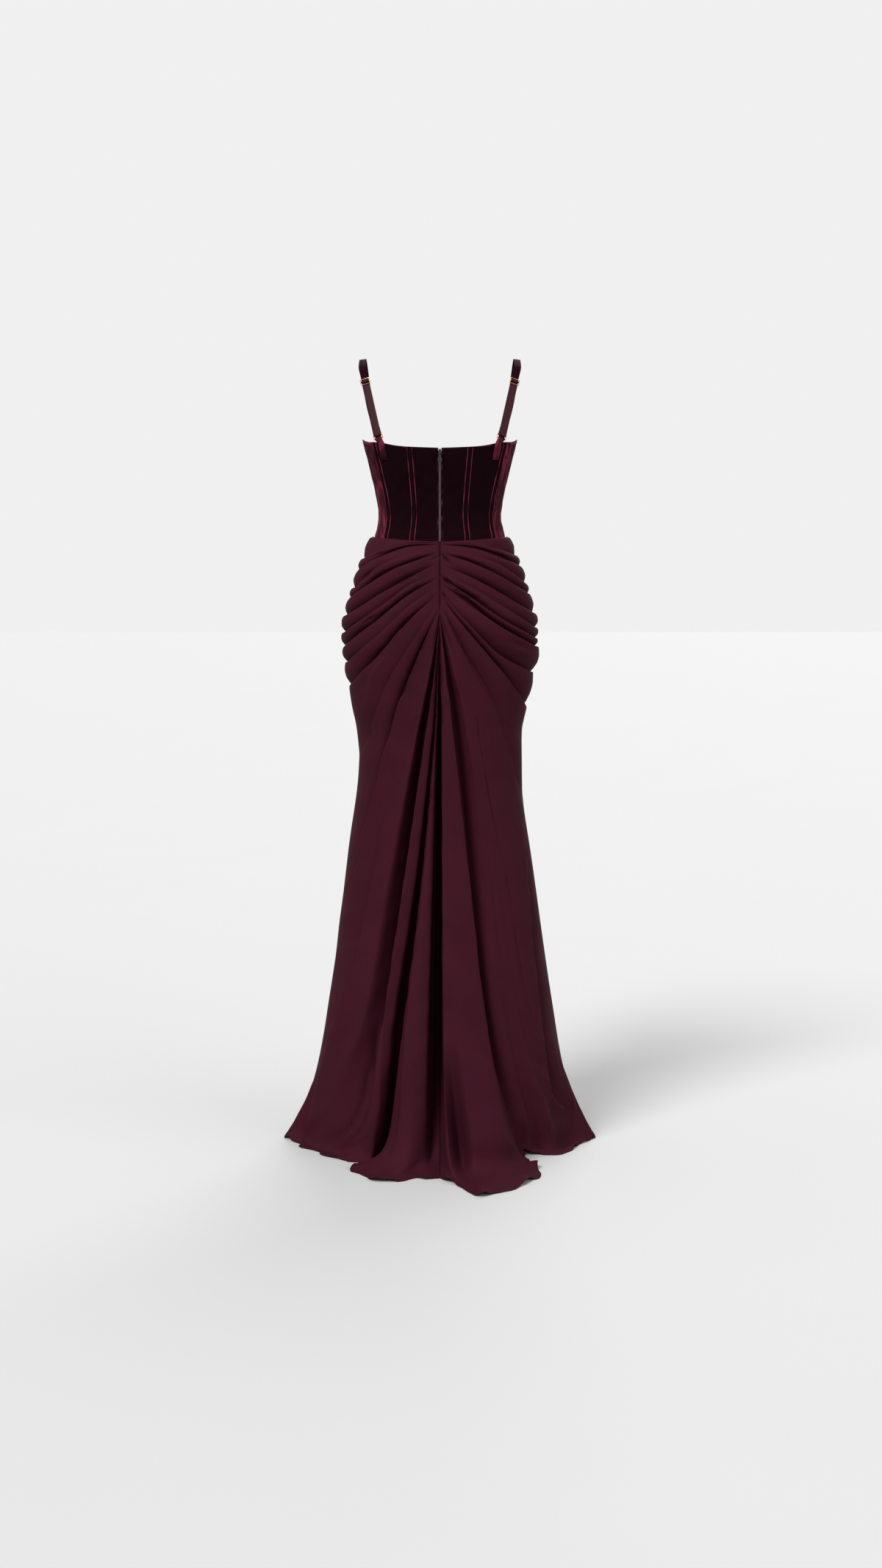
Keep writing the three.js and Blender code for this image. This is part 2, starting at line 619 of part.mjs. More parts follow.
// The frame of one strap: its middle at the ring, the way up it, across it and out of it.
function strapFrame(hand) {
  const mirror = ([x, y, height]) => new THREE.Vector3(hand * x, y, upright(height));
  const centre = mirror(strapPlaces.ring);
  const up = mirror(strapPlaces.slider).sub(centre);
  const length = up.length();
  up.normalize();
  const facing = new THREE.Vector3(hand * 0.3, -1, 0);
  const out = facing.addScaledVector(up, -facing.dot(up)).normalize();
  const across = up.clone().cross(out).normalize();
  const place = (along, away, aside = 0) => centre.clone().addScaledVector(up, along)
    .addScaledVector(out, away).addScaledVector(across, aside);
  return { centre, up, out, across, place, length, mirror };
}

// Points round a bar, from turn to turn in degrees, where 0 is outward and 90 is up the strap.
function roundBar(frame, along, away, radius, from, to, steps) {
  return [...Array(steps + 1).keys()].map((k) => {
    const turn = lerp(from, to, k / steps) * degrees;
    return frame.place(along + radius * Math.sin(turn), away + radius * Math.cos(turn));
  });
}

function roundedOutline(width, height, radius) {
  const [x, y] = [width / 2, height / 2];
  const shape = new THREE.Shape();
  shape.moveTo(x - radius, -y);
  shape.absarc(x - radius, -y + radius, radius, -Math.PI / 2, 0);
  shape.absarc(x - radius, y - radius, radius, 0, Math.PI / 2);
  shape.absarc(-x + radius, y - radius, radius, Math.PI / 2, Math.PI);
  shape.absarc(-x + radius, -y + radius, radius, Math.PI, 1.5 * Math.PI);
  return shape;
}

// A flat metal loop with one or two windows, standing in the strap's plane.
function loopGeometry(frame, along, away, width, height, wire, windows) {
  const outline = roundedOutline(width, height, loopCorner.outside);
  const opening = (height - wire * (windows + 1)) / windows;
  for (let k = 0; k < windows; k += 1) {
    const hole = roundedOutline(width - 2 * wire, opening, loopCorner.window);
    const shift = (k - (windows - 1) / 2) * (opening + wire);
    const points = hole.getPoints(2).map((spot) => new THREE.Vector2(spot.x, spot.y + shift));
    outline.holes.push(new THREE.Path(points.reverse()));
  }
  const settings = { depth: wire, bevelEnabled: false, curveSegments: 2 };
  const geometry = new THREE.ExtrudeGeometry(outline, settings).translate(0, 0, -wire / 2);
  const basis = new THREE.Matrix4().makeBasis(frame.across, frame.up, frame.out);
  basis.setPosition(frame.place(along, away));
  return merged(geometry.applyMatrix4(basis));
}

function merged(geometry) {
  geometry.deleteAttribute('normal');
  geometry.deleteAttribute('uv');
  return mergeVertices(geometry, 1e-4);
}

function strapPieces(hand) {
  const frame = strapFrame(hand);
  const barAt = (ring.height - ring.wire) / 2;
  const clearance = Math.SQRT2 * (ring.wire / 2) + seamGap;
  const acrossOf = (points) => points.map(() => frame.across);

  const satinRound = clearance + tape.satin / 2;
  const sliderAway = 2 * satinRound;
  const folded = satinRound - tape.satin - seamGap;
  const satin = [
    frame.place(barAt + satinFold.end, folded),
    frame.place(barAt + satinFold.start, folded),
    frame.place(barAt + satinFold.cross, -satinRound * 0.4),
    ...roundBar(frame, barAt, 0, satinRound, -160, 0, 5),
    frame.place(frame.length * 0.3, satinRound),
    frame.place(frame.length * 0.6, satinRound),
    frame.place(frame.length - satinStraight, satinRound),
    ...roundBar(frame, frame.length, sliderAway, satinRound, 180, -50, 7),
  ];

  const velvetAway = sliderAway - slider.wire / 2 - seamGap - tape.velvet / 2 - 0.1;
  const frontEdge = topAt(strapFrontAngle);
  const inside = velvetWall + seamGap + tape.velvet / 2 + strapHollow;
  const shoulder = [
    frame.place(frame.length + satinRound + tape.satin, velvetAway),
    ...velvetRise.map((rise) => frame.place(frame.length + rise, velvetAway)),
    frame.mirror(strapPlaces.shoulder),
    frame.mirror(strapPlaces.overTop),
    frame.mirror(strapPlaces.front),
    ...sewnHeights.map((height) => bodicePoint(hand * strapFrontAngle, frontEdge + height, -inside)),
  ];
  const route = new THREE.CatmullRomCurve3(shoulder, false, 'centripetal');
  const velvet = route.getPoints(26);
  const sideways = new THREE.Vector3(1, 0, 0);
  const frontAcross = bodicePoint(hand * strapFrontAngle - 1, frontEdge)
    .sub(bodicePoint(hand * strapFrontAngle + 1, frontEdge)).normalize();
  if (frontAcross.dot(frame.across) < 0) frontAcross.negate();
  if (sideways.dot(frame.across) < 0) sideways.negate();
  const velvetAcross = velvet.map((spot, k) => {
    const share = k / (velvet.length - 1);
    return share < 0.5
      ? frame.across.clone().lerp(sideways, share * 2)
      : sideways.clone().lerp(frontAcross, share * 2 - 1);
  });

  const { across, foot, bar } = strapPlaces.tab;
  const aside = bodiceBase.angleAt(across, bar);
  const tabAcross = bodicePoint(hand * (aside - 1), bar)
    .sub(bodicePoint(hand * (aside + 1), bar)).normalize();
  if (tabAcross.dot(frame.across) < 0) tabAcross.negate();
  const tabRound = clearance + tape.tab / 2;
  const onBodice = (share) => facetPoint(hand * aside, share, 2 * seamGap + tape.tab / 2);
  const tab = [
    onBodice(foot),
    onBodice(1 - 1 / panelRows),
    onBodice(1),
    ...roundBar(frame, -barAt, 0, tabRound, -10, 100, 3),
  ];
  const tabAcrosses = tab.map((spot, k) => tabAcross.clone().lerp(frame.across, clamp(k - 2, 0, 1)));

  const loopWidth = tape.width + 2 * (ring.wire + seamGap);
  const sliderHeight = 2 * slider.bars + slider.wire;
  return {
    strap_back: tapeGeometry(tapeStations(satin, acrossOf(satin)), tape.width, tape.satin),
    strap_front: tapeGeometry(tapeStations(velvet, velvetAcross), tape.width - 1.5, tape.velvet),
    strap_tab: tapeGeometry(tapeStations(tab, tabAcrosses, false), tape.width - 1, tape.tab),
    strap_ring: loopGeometry(frame, 0, 0, loopWidth, ring.height, ring.wire, 1),
    strap_slider: loopGeometry(frame, frame.length, sliderAway, loopWidth, sliderHeight, slider.wire, 2),
  };
}

const wasm = await Module();
wasm.setup();

function solidOf(geometry) {
  const clean = merged(geometry.clone());
  return new wasm.Manifold(new wasm.Mesh({
    numProp: 3,
    vertProperties: new Float32Array(clean.attributes.position.array),
    triVerts: new Uint32Array(clean.index.array),
  }));
}

function joined(geometries) {
  const solid = geometries.map(solidOf).reduce((whole, next) => whole.add(next));
  const mesh = solid.getMesh();
  return closedGeometry([...mesh.vertProperties], [...mesh.triVerts]);
}

const sliderFace = bodicePoint(0, zip.sliderHeight);
const sliderTilt = Math.atan2(
  bodicePoint(0, zip.sliderHeight - 5).y - bodicePoint(0, zip.sliderHeight + 5).y, 10);
const pinAway = zipSlider.depth + zipSlider.lugReach;
// From the slider's own frame, x across, y out of the zip and z up it, to the dress.
function onZip(geometry) {
  return geometry.rotateX(sliderTilt).translate(0, sliderFace.y - seamGap, sliderFace.z);
}

function zipSliderGeometry() {
  const { width, length, depth, corner, lugGap, lugWall, lugHeight, lugTip, pin, pinRise } = zipSlider;
  const body = new THREE.ExtrudeGeometry(roundedOutline(width, length, corner), {
    depth, bevelEnabled: false, curveSegments: 3,
  }).rotateX(Math.PI / 2);
  const lugEnd = pinAway + pin + lugTip;
  const lugs = [-1, 1].map((side) => new THREE.BoxGeometry(lugWall, lugEnd - depth / 2, lugHeight)
    .translate(side * (lugGap + lugWall / 2), -(lugEnd + depth / 2) / 2, pinRise));
  const axle = new THREE.CylinderGeometry(pin, pin, 2 * lugGap + lugWall, 12)
    .rotateZ(Math.PI / 2).translate(0, -pinAway, pinRise);
  return onZip(joined([body, ...lugs, axle]));
}

const pinPlace = new THREE.Vector3(0, -pinAway, zipSlider.pinRise)
  .applyAxisAngle(new THREE.Vector3(1, 0, 0), sliderTilt)
  .add(new THREE.Vector3(0, sliderFace.y - seamGap, sliderFace.z));

// A teardrop tab that hangs plumb from a knuckle on the slider's pin.
function pullGeometry() {
  const knuckleRing = new THREE.Shape().absarc(0, 0, pull.knuckle, 0, 2 * Math.PI);
  knuckleRing.holes.push(new THREE.Path().absarc(0, 0, pull.bore, 0, 2 * Math.PI, true));
  const knuckle = new THREE.ExtrudeGeometry(knuckleRing, {
    depth: pull.width, bevelEnabled: false, curveSegments: 8,
  }).translate(0, 0, -pull.width / 2).rotateY(Math.PI / 2);
  const tear = new THREE.Shape();
  const low = -pull.length + pull.bulb;
  const half = pull.width / 2;
  tear.moveTo(-half, -pull.top);
  tear.lineTo(-half, -pull.neck);
  tear.quadraticCurveTo(-pull.bulb, low + pull.waist, -pull.bulb, low);
  tear.absarc(0, low, pull.bulb, Math.PI, 2 * Math.PI);
  tear.quadraticCurveTo(pull.bulb, low + pull.waist, half, -pull.neck);
  tear.lineTo(half, -pull.top);
  const plate = new THREE.ExtrudeGeometry(tear, {
    depth: pull.wall, bevelEnabled: false, curveSegments: 6,
  }).translate(0, 0, -pull.wall / 2).rotateX(Math.PI / 2);
  return joined([knuckle, plate]);
}

const materials = {
  velvet: { color: colours.velvet, roughness: 0.75, metalness: 0 },
  satin: { color: colours.satin, roughness: 0.45, metalness: 0 },
  chiffon: { color: colours.chiffon, roughness: 0.85, metalness: 0 },
  roseGold: { color: colours.roseGold, roughness: 0.25, metalness: 1 },
  gold: { color: colours.gold, roughness: 0.3, metalness: 1 },
  zipTape: { color: colours.zipTape, roughness: 0.7, metalness: 0 },
  zipMetal: { color: colours.zipMetal, roughness: 0.35, metalness: 1 },
};

const group = new THREE.Group();
function add(name, geometry, material) {
  const mesh = new THREE.Mesh(geometry, new THREE.MeshStandardMaterial(materials[material]));
  mesh.name = name;
  group.add(mesh);
  return mesh;
}

add('skirt_back_left', wallGeometry(halves.left.grid), 'chiffon');
add('skirt_back_right', wallGeometry(halves.right.grid), 'chiffon');
add('skirt_front', wallGeometry(frontGrid(halves.left.sideLine, halves.right.sideLine)), 'chiffon');

const lines = Object.fromEntries(Object.entries(seams).map(([key, seam]) => [key, seamAngle(seam)]));
const centre = () => 0;
for (const [name, hand] of [['left', -1], ['right', 1]]) {
  const panels = {
    bodice_back: { from: centre, to: lines.inner, columns: 2, inset: [zip.gap, seamGap / 2] },
    bodice_mid_back: { from: lines.inner, to: lines.outer, columns: 4 },
    bodice_side: { from: lines.outer, to: lines.side, columns: 7 },
    bodice_front_side: { from: lines.side, to: lines.princess, columns: 5 },
  };
  for (const [piece, panel] of Object.entries(panels)) {
    const grid = panelGrid({ rows: panelRows, ...panel });
    const placed = grid.map((row) => row.map(({ outer, inner }) => ({
      outer: outer.multiply(new THREE.Vector3(hand, 1, 1)),
      inner: inner.multiply(new THREE.Vector3(hand, 1, 1)),
    })));
    add(`${piece}_${name}`, wallGeometry(placed), 'velvet');
  }
  for (const [place, line] of [['inner', lines.inner], ['outer', lines.outer]]) {
    add(`boning_channel_${place}_${name}`, wallGeometry(channelGrid(hand, line)), 'velvet');
  }
  const finishes = {
    strap_back: 'satin',
    strap_front: 'velvet',
    strap_tab: 'velvet',
    strap_ring: 'gold',
    strap_slider: 'roseGold',
  };
  for (const [piece, geometry] of Object.entries(strapPieces(hand))) {
    add(`${piece}_${name}`, geometry, finishes[piece]);
  }
}

const centreFront = {
  from: lines.princess,
  to: (height) => 360 - lines.princess(height),
  columns: 6,
  rows: panelRows,
};
add('bodice_center_front', wallGeometry(panelGrid(centreFront)), 'velvet');

const zipGrid = [...Array(panelRows + 1).keys()].map((i) => [-1, 1].map((side) => {
  const height = lerp(waistAt(0) - waistLap, zip.top, i / panelRows);
  const place = (out) => bodicePoint(0, height, out).setX(side * (zip.gap - seamGap));
  return { outer: place(-zip.sink), inner: place(-zip.sink - zip.tapeWall) };
}));
add('zip_tape', wallGeometry(zipGrid), 'zipTape');
add('zip_slider', zipSliderGeometry(), 'zipMetal');
add('zip_pull', pullGeometry(), 'zipMetal').position.copy(pinPlace);

export default group;
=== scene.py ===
import bmesh
import bpy
import math
import numpy as np
from mathutils import Matrix, Vector


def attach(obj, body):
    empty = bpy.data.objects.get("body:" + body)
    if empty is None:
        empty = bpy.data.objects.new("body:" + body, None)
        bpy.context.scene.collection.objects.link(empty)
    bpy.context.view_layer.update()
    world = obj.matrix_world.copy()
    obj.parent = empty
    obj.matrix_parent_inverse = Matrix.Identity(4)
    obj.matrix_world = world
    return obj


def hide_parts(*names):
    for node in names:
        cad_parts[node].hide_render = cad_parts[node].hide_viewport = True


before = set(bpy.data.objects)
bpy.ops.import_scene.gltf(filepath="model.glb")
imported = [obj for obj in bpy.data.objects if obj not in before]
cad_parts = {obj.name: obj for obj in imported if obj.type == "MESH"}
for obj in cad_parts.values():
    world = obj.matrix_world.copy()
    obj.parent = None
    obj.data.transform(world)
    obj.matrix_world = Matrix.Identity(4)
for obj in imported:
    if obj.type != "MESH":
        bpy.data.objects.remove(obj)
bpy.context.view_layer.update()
print("frame loaded")

# Lengths in the tables are millimetres, and heights are measured up from the floor under the hem.
shoulderHeight = 1535
millimetre = 0.001
bothSides = ((-1, "left"), (1, "right"))

cameraSettings = {
    "distance": 4.0,  # behind the dress's own axis
    "height": 1.15,  # above the floor
    "aside": 0.0022,
    "tiltDown": 6.2,
    "lens": 46.85,
}


def makeCamera(settings):
    data = bpy.data.cameras.new("camera")
    data.lens = settings["lens"]
    data.sensor_width = 36
    camera = bpy.data.objects.new("camera", data)
    bpy.context.scene.collection.objects.link(camera)
    up = settings["height"] - shoulderHeight * millimetre
    camera.location = (settings["aside"], -settings["distance"], up)
    camera.rotation_euler = (math.radians(90 - settings["tiltDown"]), 0, 0)
    bpy.context.scene.camera = camera


makeCamera(cameraSettings)
bpy.context.scene.view_settings.view_transform = "Standard"
print("camera set")


def lerp(a, b, share):
    return a + (b - a) * share


def smoothstep(x):
    x = np.clip(x, 0, 1)
    return x * x * (3 - 2 * x)


def unit(vectors):
    return vectors / np.maximum(np.linalg.norm(vectors, axis=-1, keepdims=True), 1e-9)


# The slope at each point of a curve, level at its tops and bottoms so that it never swings past them.
def pointSlopes(slopes):
    product = slopes[:-1] * slopes[1:]
    total = slopes[:-1] + slopes[1:]
    inner = np.where(product > 0, 2 * product / np.where(total == 0, 1, total), 0)
    return np.concatenate([slopes[:1], inner, slopes[-1:]])


# The curve from start to end with the given slopes there, at share p of the step between them.
def hermite(start, end, startSlope, endSlope, step, p):
    curve = (2 * p - 3) * p * p
    bend = startSlope * p * (1 - p) ** 2 - endSlope * p * p * (1 - p)
    return start * (1 + curve) - end * curve + step * bend


# A curve through the rows of a table.
def tableCurve(xs, ys):
    xs, ys = np.array(xs, float), np.array(ys, float)
    steps = np.diff(xs)
    slopes = pointSlopes(np.diff(ys) / steps)

    def read(x):
        x = np.clip(np.asarray(x, float), xs[0], xs[-1])
        i = np.clip(np.searchsorted(xs, x, side="right") - 1, 0, len(xs) - 2)
        return hermite(ys[i], ys[i + 1], slopes[i], slopes[i + 1], steps[i], (x - xs[i]) / steps[i])

    return read


# A rounded curve through values at whole steps, read at any share from 0 to 1.
def throughCurve(keys):
    keys = np.array(keys, float)
    last = len(keys) - 1

    def read(share):
        at = np.clip(np.asarray(share, float) * last, 0, last)
        i = np.minimum(at.astype(int), last - 1)
        p = at - i
        if keys.ndim > 1:
            p = p[..., None]
        before, start = keys[np.maximum(i - 1, 0)], keys[i]
        end, after = keys[i + 1], keys[np.minimum(i + 2, last)]
        return 0.5 * (
            2 * start + (end - before) * p
            + (2 * before - 5 * start + 4 * end - after) * p ** 2
            + (3 * start - before - 3 * end + after) * p ** 3)

    return read


# The rows of a grid of points refined along the first axis, each point on a curve that keeps crests round.
def refineRows(points, counts, leastChord=0.4):
    chords = np.linalg.norm(np.diff(points, axis=0), axis=2)[..., None] + leastChord
    slopes = pointSlopes(np.diff(points, axis=0) / chords)
    rows, marks = [], []
    for i, count in enumerate(counts):
        marks.append(len(rows))
        rows += [hermite(points[i], points[i + 1], slopes[i], slopes[i + 1], chords[i], k / count)
                 for k in range(count)]
    marks.append(len(rows))
    rows.append(points[-1])
    return np.array(rows), marks


# A level section through the body: half width, and depth behind and before the side seams.
def sectionForm(rows, squareness):
    columns = list(zip(*rows))
    names = ("half", "back", "front")
    form = {name: tableCurve(columns[0], column) for name, column in zip(names, columns[1:])}
    form["squareness"] = squareness
    return form


bodiceForm = sectionForm([
    # height, half, back, front
    (1170, 126, 78, 102),
    (1199, 127, 79, 103),
    (1214, 123, 77, 100),
    (1240, 119, 78, 99),
    (1271, 123, 83, 103),
    (1316, 133, 94, 114),
    (1361, 144, 104, 122),
    (1383, 150, 108, 120),
], 2.5)
skirtForm = sectionForm([
    (0, 312, 200, 205),
    (30, 288, 197, 196),
    (73, 267, 194, 186),
    (148, 246, 188, 174),
    (298, 220, 173, 155),
    (446, 198, 158, 137),
    (593, 178, 145, 121),
    (740, 159, 134, 110),
    (812, 157, 131, 107),
    (870, 168, 130, 106),
    (950, 183, 131, 106),
    (1020, 188, 131, 110),
    (1089, 173, 118, 114),
    (1157, 151, 98, 111),
    (1185, 139, 86, 108),
    (1199, 134, 83, 106),
], 2.2)
# the height of the bodice's top edge and of the waist seam, by the angle round the body
topEdge = tableCurve([0, 25, 50, 72, 90, 120, 155, 180], [1365, 1368.5, 1377, 1379, 1386, 1384, 1377, 1368])
waistSeam = tableCurve([0, 40, 90, 180], [1189, 1194, 1199, 1189])
bust = {"angle": 143, "angleSpread": 20, "height": 1336, "heightSpread": 30, "swell": 13}


# angle: 0 at the centre back, +90 at the right side seam, 180 at the centre front.
def sectionPoint(form, angle, height, out=0):
    angle, height, out = np.broadcast_arrays(*(np.asarray(v, float) for v in (angle, height, out)))
    turn = np.radians(angle)
    across, along = np.sin(turn), np.cos(turn)
    wide = form["half"](height)
    deep = np.where(along >= 0, form["back"](height), form["front"](height))
    squareness = form["squareness"]
    x = np.sign(across) * np.abs(across) ** (2 / squareness)
    y = -np.sign(along) * np.abs(along) ** (2 / squareness)
    nx = np.sign(x) * np.abs(x) ** (squareness - 1) / wide
    ny = np.sign(y) * np.abs(y) ** (squareness - 1) / deep
    size = np.hypot(nx, ny)
    return np.stack([x * wide + nx / size * out, y * deep + ny / size * out, height - shoulderHeight], -1)


# The angle at which a section reaches a distance across, read on its back half.
def angleAt(form, across, height):
    share = np.clip(np.abs(across) / form["half"](height), 0, 1) ** (form["squareness"] / 2)
    return np.degrees(np.arcsin(share))


def bodicePoint(angle, height, out=0):
    aside = np.abs(angle)
    swell = bust["swell"] * np.exp(-((aside - bust["angle"]) / bust["angleSpread"]) ** 2)
    swell = swell * np.exp(-((height - bust["height"]) / bust["heightSpread"]) ** 2)
    return sectionPoint(bodiceForm, angle, height, out + swell)


def degreeWidth(angle, height):
    return np.linalg.norm(bodicePoint(angle, height) - bodicePoint(angle + 1, height), axis=-1)


# Waves of many lengths laid over each other, for the small unevenness of hand-draped cloth.
def ripples(along, across, seed, alongLength, acrossLength, count=14):
    source = np.random.default_rng(seed)
    total = np.zeros(np.broadcast(along, across).shape)
    for _ in range(count):
        a = 2 * math.pi / (alongLength * source.uniform(0.6, 2.2)) * source.choice([-1, 1])
        b = 2 * math.pi / (acrossLength * source.uniform(0.6, 2.2))
        total += np.cos(along * a + across * b + source.uniform(0, 2 * math.pi))
    return total / math.sqrt(count)


def gridNormals(points):
    return unit(np.cross(np.gradient(points, axis=1), np.gradient(points, axis=0)))


# How far along an axis of a grid each of its points lies.
def spread(points, axis):
    steps = np.linalg.norm(np.diff(points, axis=axis), axis=2)
    start = np.zeros_like(np.take(steps, [0], axis=axis))
    return np.concatenate([start, np.cumsum(steps, axis=axis)], axis=axis)


# The mesh of a grid of points in millimetres; flip turns its faces the other way.
def gridMesh(name, points, flip=False, closed=False):
    rows, columns = points.shape[:2]
    i, j = np.meshgrid(np.arange(rows - 1), np.arange(columns if closed else columns - 1), indexing="ij")
    here, after = i * columns + j, i * columns + (j + 1) % columns
    faces = np.stack([here, after, after + columns, here + columns], -1).reshape(-1, 4)
    if flip:
        faces = faces[:, ::-1]
    mesh = bpy.data.meshes.new(name)
    mesh.from_pydata((points.reshape(-1, 3) * millimetre).tolist(), [], faces.tolist())
    mesh.update()
    return mesh


def finishPiece(piece, material, replaced=()):
    piece.data.materials.clear()
    piece.data.materials.append(material)
    for polygon in piece.data.polygons:
        polygon.use_smooth = True
    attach(piece, "dress")
    if replaced:
        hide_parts(*replaced)


def addPiece(name, mesh, material, replaced=()):
    piece = bpy.data.objects.new(name, mesh)
    bpy.context.scene.collection.objects.link(piece)
    finishPiece(piece, material, replaced)
    return piece


# A tube made of rings, closed at both ends.
def closedTube(name, rings, material, replaced=()):
    piece = addPiece(name, gridMesh(name, rings, closed=True), material, replaced)
    edit = bmesh.new()
    edit.from_mesh(piece.data)
    bmesh.ops.holes_fill(edit, edges=[e for e in edit.edges if e.is_boundary], sides=0)
    bmesh.ops.recalc_face_normals(edit, faces=edit.faces)
    edit.to_mesh(piece.data)
    edit.free()
    return piece


def applyModifier(piece, kind, **settings):
    bpy.ops.object.select_all(action="DESELECT")
    bpy.context.view_layer.objects.active = piece
    piece.select_set(True)
    modifier = piece.modifiers.new(kind.lower(), kind)
    for key, value in settings.items():
        setattr(modifier, key, value)
    bpy.ops.object.modifier_apply(modifier=modifier.name)
    piece.select_set(False)


# Gives a sheet its thickness, inwards from the grid it was made as.
def thicken(piece, wall):
    applyModifier(piece, "SOLIDIFY", thickness=wall * millimetre, offset=-1)


# How far the velvet's pile is pressed flat, plus the painted sheen and painted highlights laid into the same
# value, for each point or for the whole piece.
def setPressAndSheen(piece, pressAndSheen):
    values = np.ravel(pressAndSheen) * np.ones(len(piece.data.vertices))
    piece.data.attributes.new("pressAndSheen", "FLOAT", "POINT").data.foreach_set("value", values.astype(np.float32))


# Colours are sRGB hex values, as read on a screen.
def linear(hexColour):
    values = [int(hexColour[k:k + 2], 16) / 255 for k in (0, 2, 4)]
    return tuple(v / 12.92 if v <= 0.04045 else ((v + 0.055) / 1.055) ** 2.4 for v in values) + (1,)


def darker(colour, share):
    return tuple(c * share for c in colour[:3]) + (1,)


# Fills a node's sockets, with a link where the value is another node's socket.
def fillInputs(tree, node, inputs):
    for key, value in inputs.items():
        if isinstance(value, bpy.types.NodeSocket):
            tree.links.new(value, node.inputs[key])
        else:
            node.inputs[key].default_value = value


def addNode(tree, kind, inputs, **settings):
    node = tree.nodes.new(kind)
    for key, value in settings.items():
        setattr(node, key, value)
    fillInputs(tree, node, inputs)
    return node


def newMaterial(name):
    material = bpy.data.materials.new(name)
    material.use_nodes = True
    tree = material.node_tree
    coordinates = addNode(tree, "ShaderNodeTexCoord", {}).outputs["Object"]
    return material, tree, tree.nodes["Principled BSDF"], coordinates


# Crepe chiffon, woven from twisted threads: matte, with a faint pebbled grain and a soft sheen.
chiffonLook = {
    "name": "crepe chiffon",
    "shades": ("260913", "2e0c17"),
    "stretch": (1, 1, 1),
    # broad, uneven dyeing, 9 clouds to a metre
    "pattern": ("ShaderNodeTexNoise", {"Scale": 9, "Detail": 3, "Roughness": 0.55}, {}),
    # crepe grain of about 1.4 mm, coarser than the real 0.3 mm so that it shows
    "grain": {"Scale": 700, "Detail": 2, "Roughness": 0.6},
    "relief": {"Strength": 0.25, "Distance": 0.0004},
    "surface": {"Roughness": 0.78, "Specular IOR Level": 0.04, "Sheen Weight": 0.02, "Sheen Roughness": 0.5,
                "Sheen Tint": linear("6a3345")},
}
# Satin ribbon: threads of 0.7 mm that float along the strap and throw a smooth, slightly streaked gloss.
satinLook = {
    "name": "satin ribbon",
    "shades": ("1f070d", "300e18"),
    "stretch": (1, 1, 0.05),
    "pattern": ("ShaderNodeTexNoise", {"Scale": 1500, "Detail": 2}, {}),
    "relief": {"Strength": 0.15, "Distance": 0.0003},
    "surface": {"Roughness": 0.5, "Specular IOR Level": 0.08},
}
# Woven polyester: dull, with fine ribs across the tape.
tapeLook = {
    "name": "woven polyester zip tape",
    "shades": ("2c1b20", "4a363c"),
    "stretch": (1, 1, 1),
    "pattern": ("ShaderNodeTexWave", {"Scale": 260, "Distortion": 0.5}, {"bands_direction": "Z"}),
    "relief": {"Strength": 0.3, "Distance": 0.0003},
    "surface": {"Roughness": 0.7},
}


# A woven cloth: two shades mixed by a pattern, which is its raised grain too unless it has another.
def clothMaterial(look):
    material, tree, shader, coordinates = newMaterial(look["name"])
    stretched = addNode(tree, "ShaderNodeMapping", {"Vector": coordinates, "Scale": look["stretch"]})
    kind, inputs, settings = look["pattern"]
    pattern = addNode(tree, kind, {"Vector": stretched.outputs["Vector"], **inputs}, **settings)
    shade, thread = map(linear, look["shades"])
    colour = addNode(tree, "ShaderNodeMix", {
        0: pattern.outputs["Fac"], 6: shade, 7: thread}, data_type="RGBA")
    grain = pattern
    if "grain" in look:
        grain = addNode(tree, "ShaderNodeTexNoise", {"Vector": coordinates, **look["grain"]})
    bump = addNode(tree, "ShaderNodeBump", {"Height": grain.outputs["Fac"], **look["relief"]})
    fillInputs(tree, shader, {
        "Base Color": colour.outputs[2], "Normal": bump.outputs["Normal"], **look["surface"]})
    return material


velvetLook = {
    # deep is the pile face on; lit and pressed are the lighter tones of pressed pile and of the painted sheen
    # and highlights
    "deep": "0c0104",
    "lit": "35101c",
    "pressedAndSheen": "5e2030",
    "stretch": (1.6, 1.6, 0.5),  # the crushed patches run up and down
    "crush": {"Scale": 21, "Detail": 4, "Roughness": 0.55, "Distortion": 1.8},
    "crushRange": {"From Min": 0.66, "From Max": 0.98},  # where a patch begins to show, and is brightest
    "pile": {"Scale": 1300, "Detail": 2},
    "relief": {"Strength": 0.2, "Distance": 0.0004},
    "surface": {"Roughness": 0.85, "Specular IOR Level": 0.03, "Sheen Weight": 0.03, "Sheen Roughness": 0.3,
                "Sheen Tint": linear("8a3048")},
}


# Crushed velvet: an upright pile, near black face on, and brighter where it is pressed flat. The press
# attribute says how far the pile is laid over, and also carries painted sheen and painted highlights that
# lighten the colour where light would catch the pile; patchy noise breaks it up.
def velvetMaterial(look):
    material, tree, shader, coordinates = newMaterial("crushed velvet")
    stretched = addNode(tree, "ShaderNodeMapping", {"Vector": coordinates, "Scale": look["stretch"]})
    crush = addNode(tree, "ShaderNodeTexNoise", {"Vector": stretched.outputs["Vector"], **look["crush"]})
    # the press value lightens the colour: pressed pile, and painted sheen and painted highlights
    pressAndSheen = addNode(tree, "ShaderNodeAttribute", {}, attribute_name="pressAndSheen").outputs["Fac"]
    base = addNode(tree, "ShaderNodeMix", {
        0: pressAndSheen, 6: linear(look["deep"]), 7: linear(look["lit"])}, data_type="RGBA")
    reach = addNode(tree, "ShaderNodeMath", {
        0: pressAndSheen, 1: 0.5, 2: crush.outputs["Fac"]}, operation="MULTIPLY_ADD")
    patches = addNode(tree, "ShaderNodeMapRange", {
        "Value": reach.outputs["Value"], **look["crushRange"]}, interpolation_type="SMOOTHSTEP")
    colour = addNode(tree, "ShaderNodeMix", {
        0: patches.outputs["Result"], 6: base.outputs[2], 7: linear(look["pressedAndSheen"])}, data_type="RGBA")
    pile = addNode(tree, "ShaderNodeTexNoise", {"Vector": coordinates, **look["pile"]})
    bump = addNode(tree, "ShaderNodeBump", {"Height": pile.outputs["Fac"], **look["relief"]})
    fillInputs(tree, shader, {
        "Base Color": colour.outputs[2], "Normal": bump.outputs["Normal"], **look["surface"]})
    return material


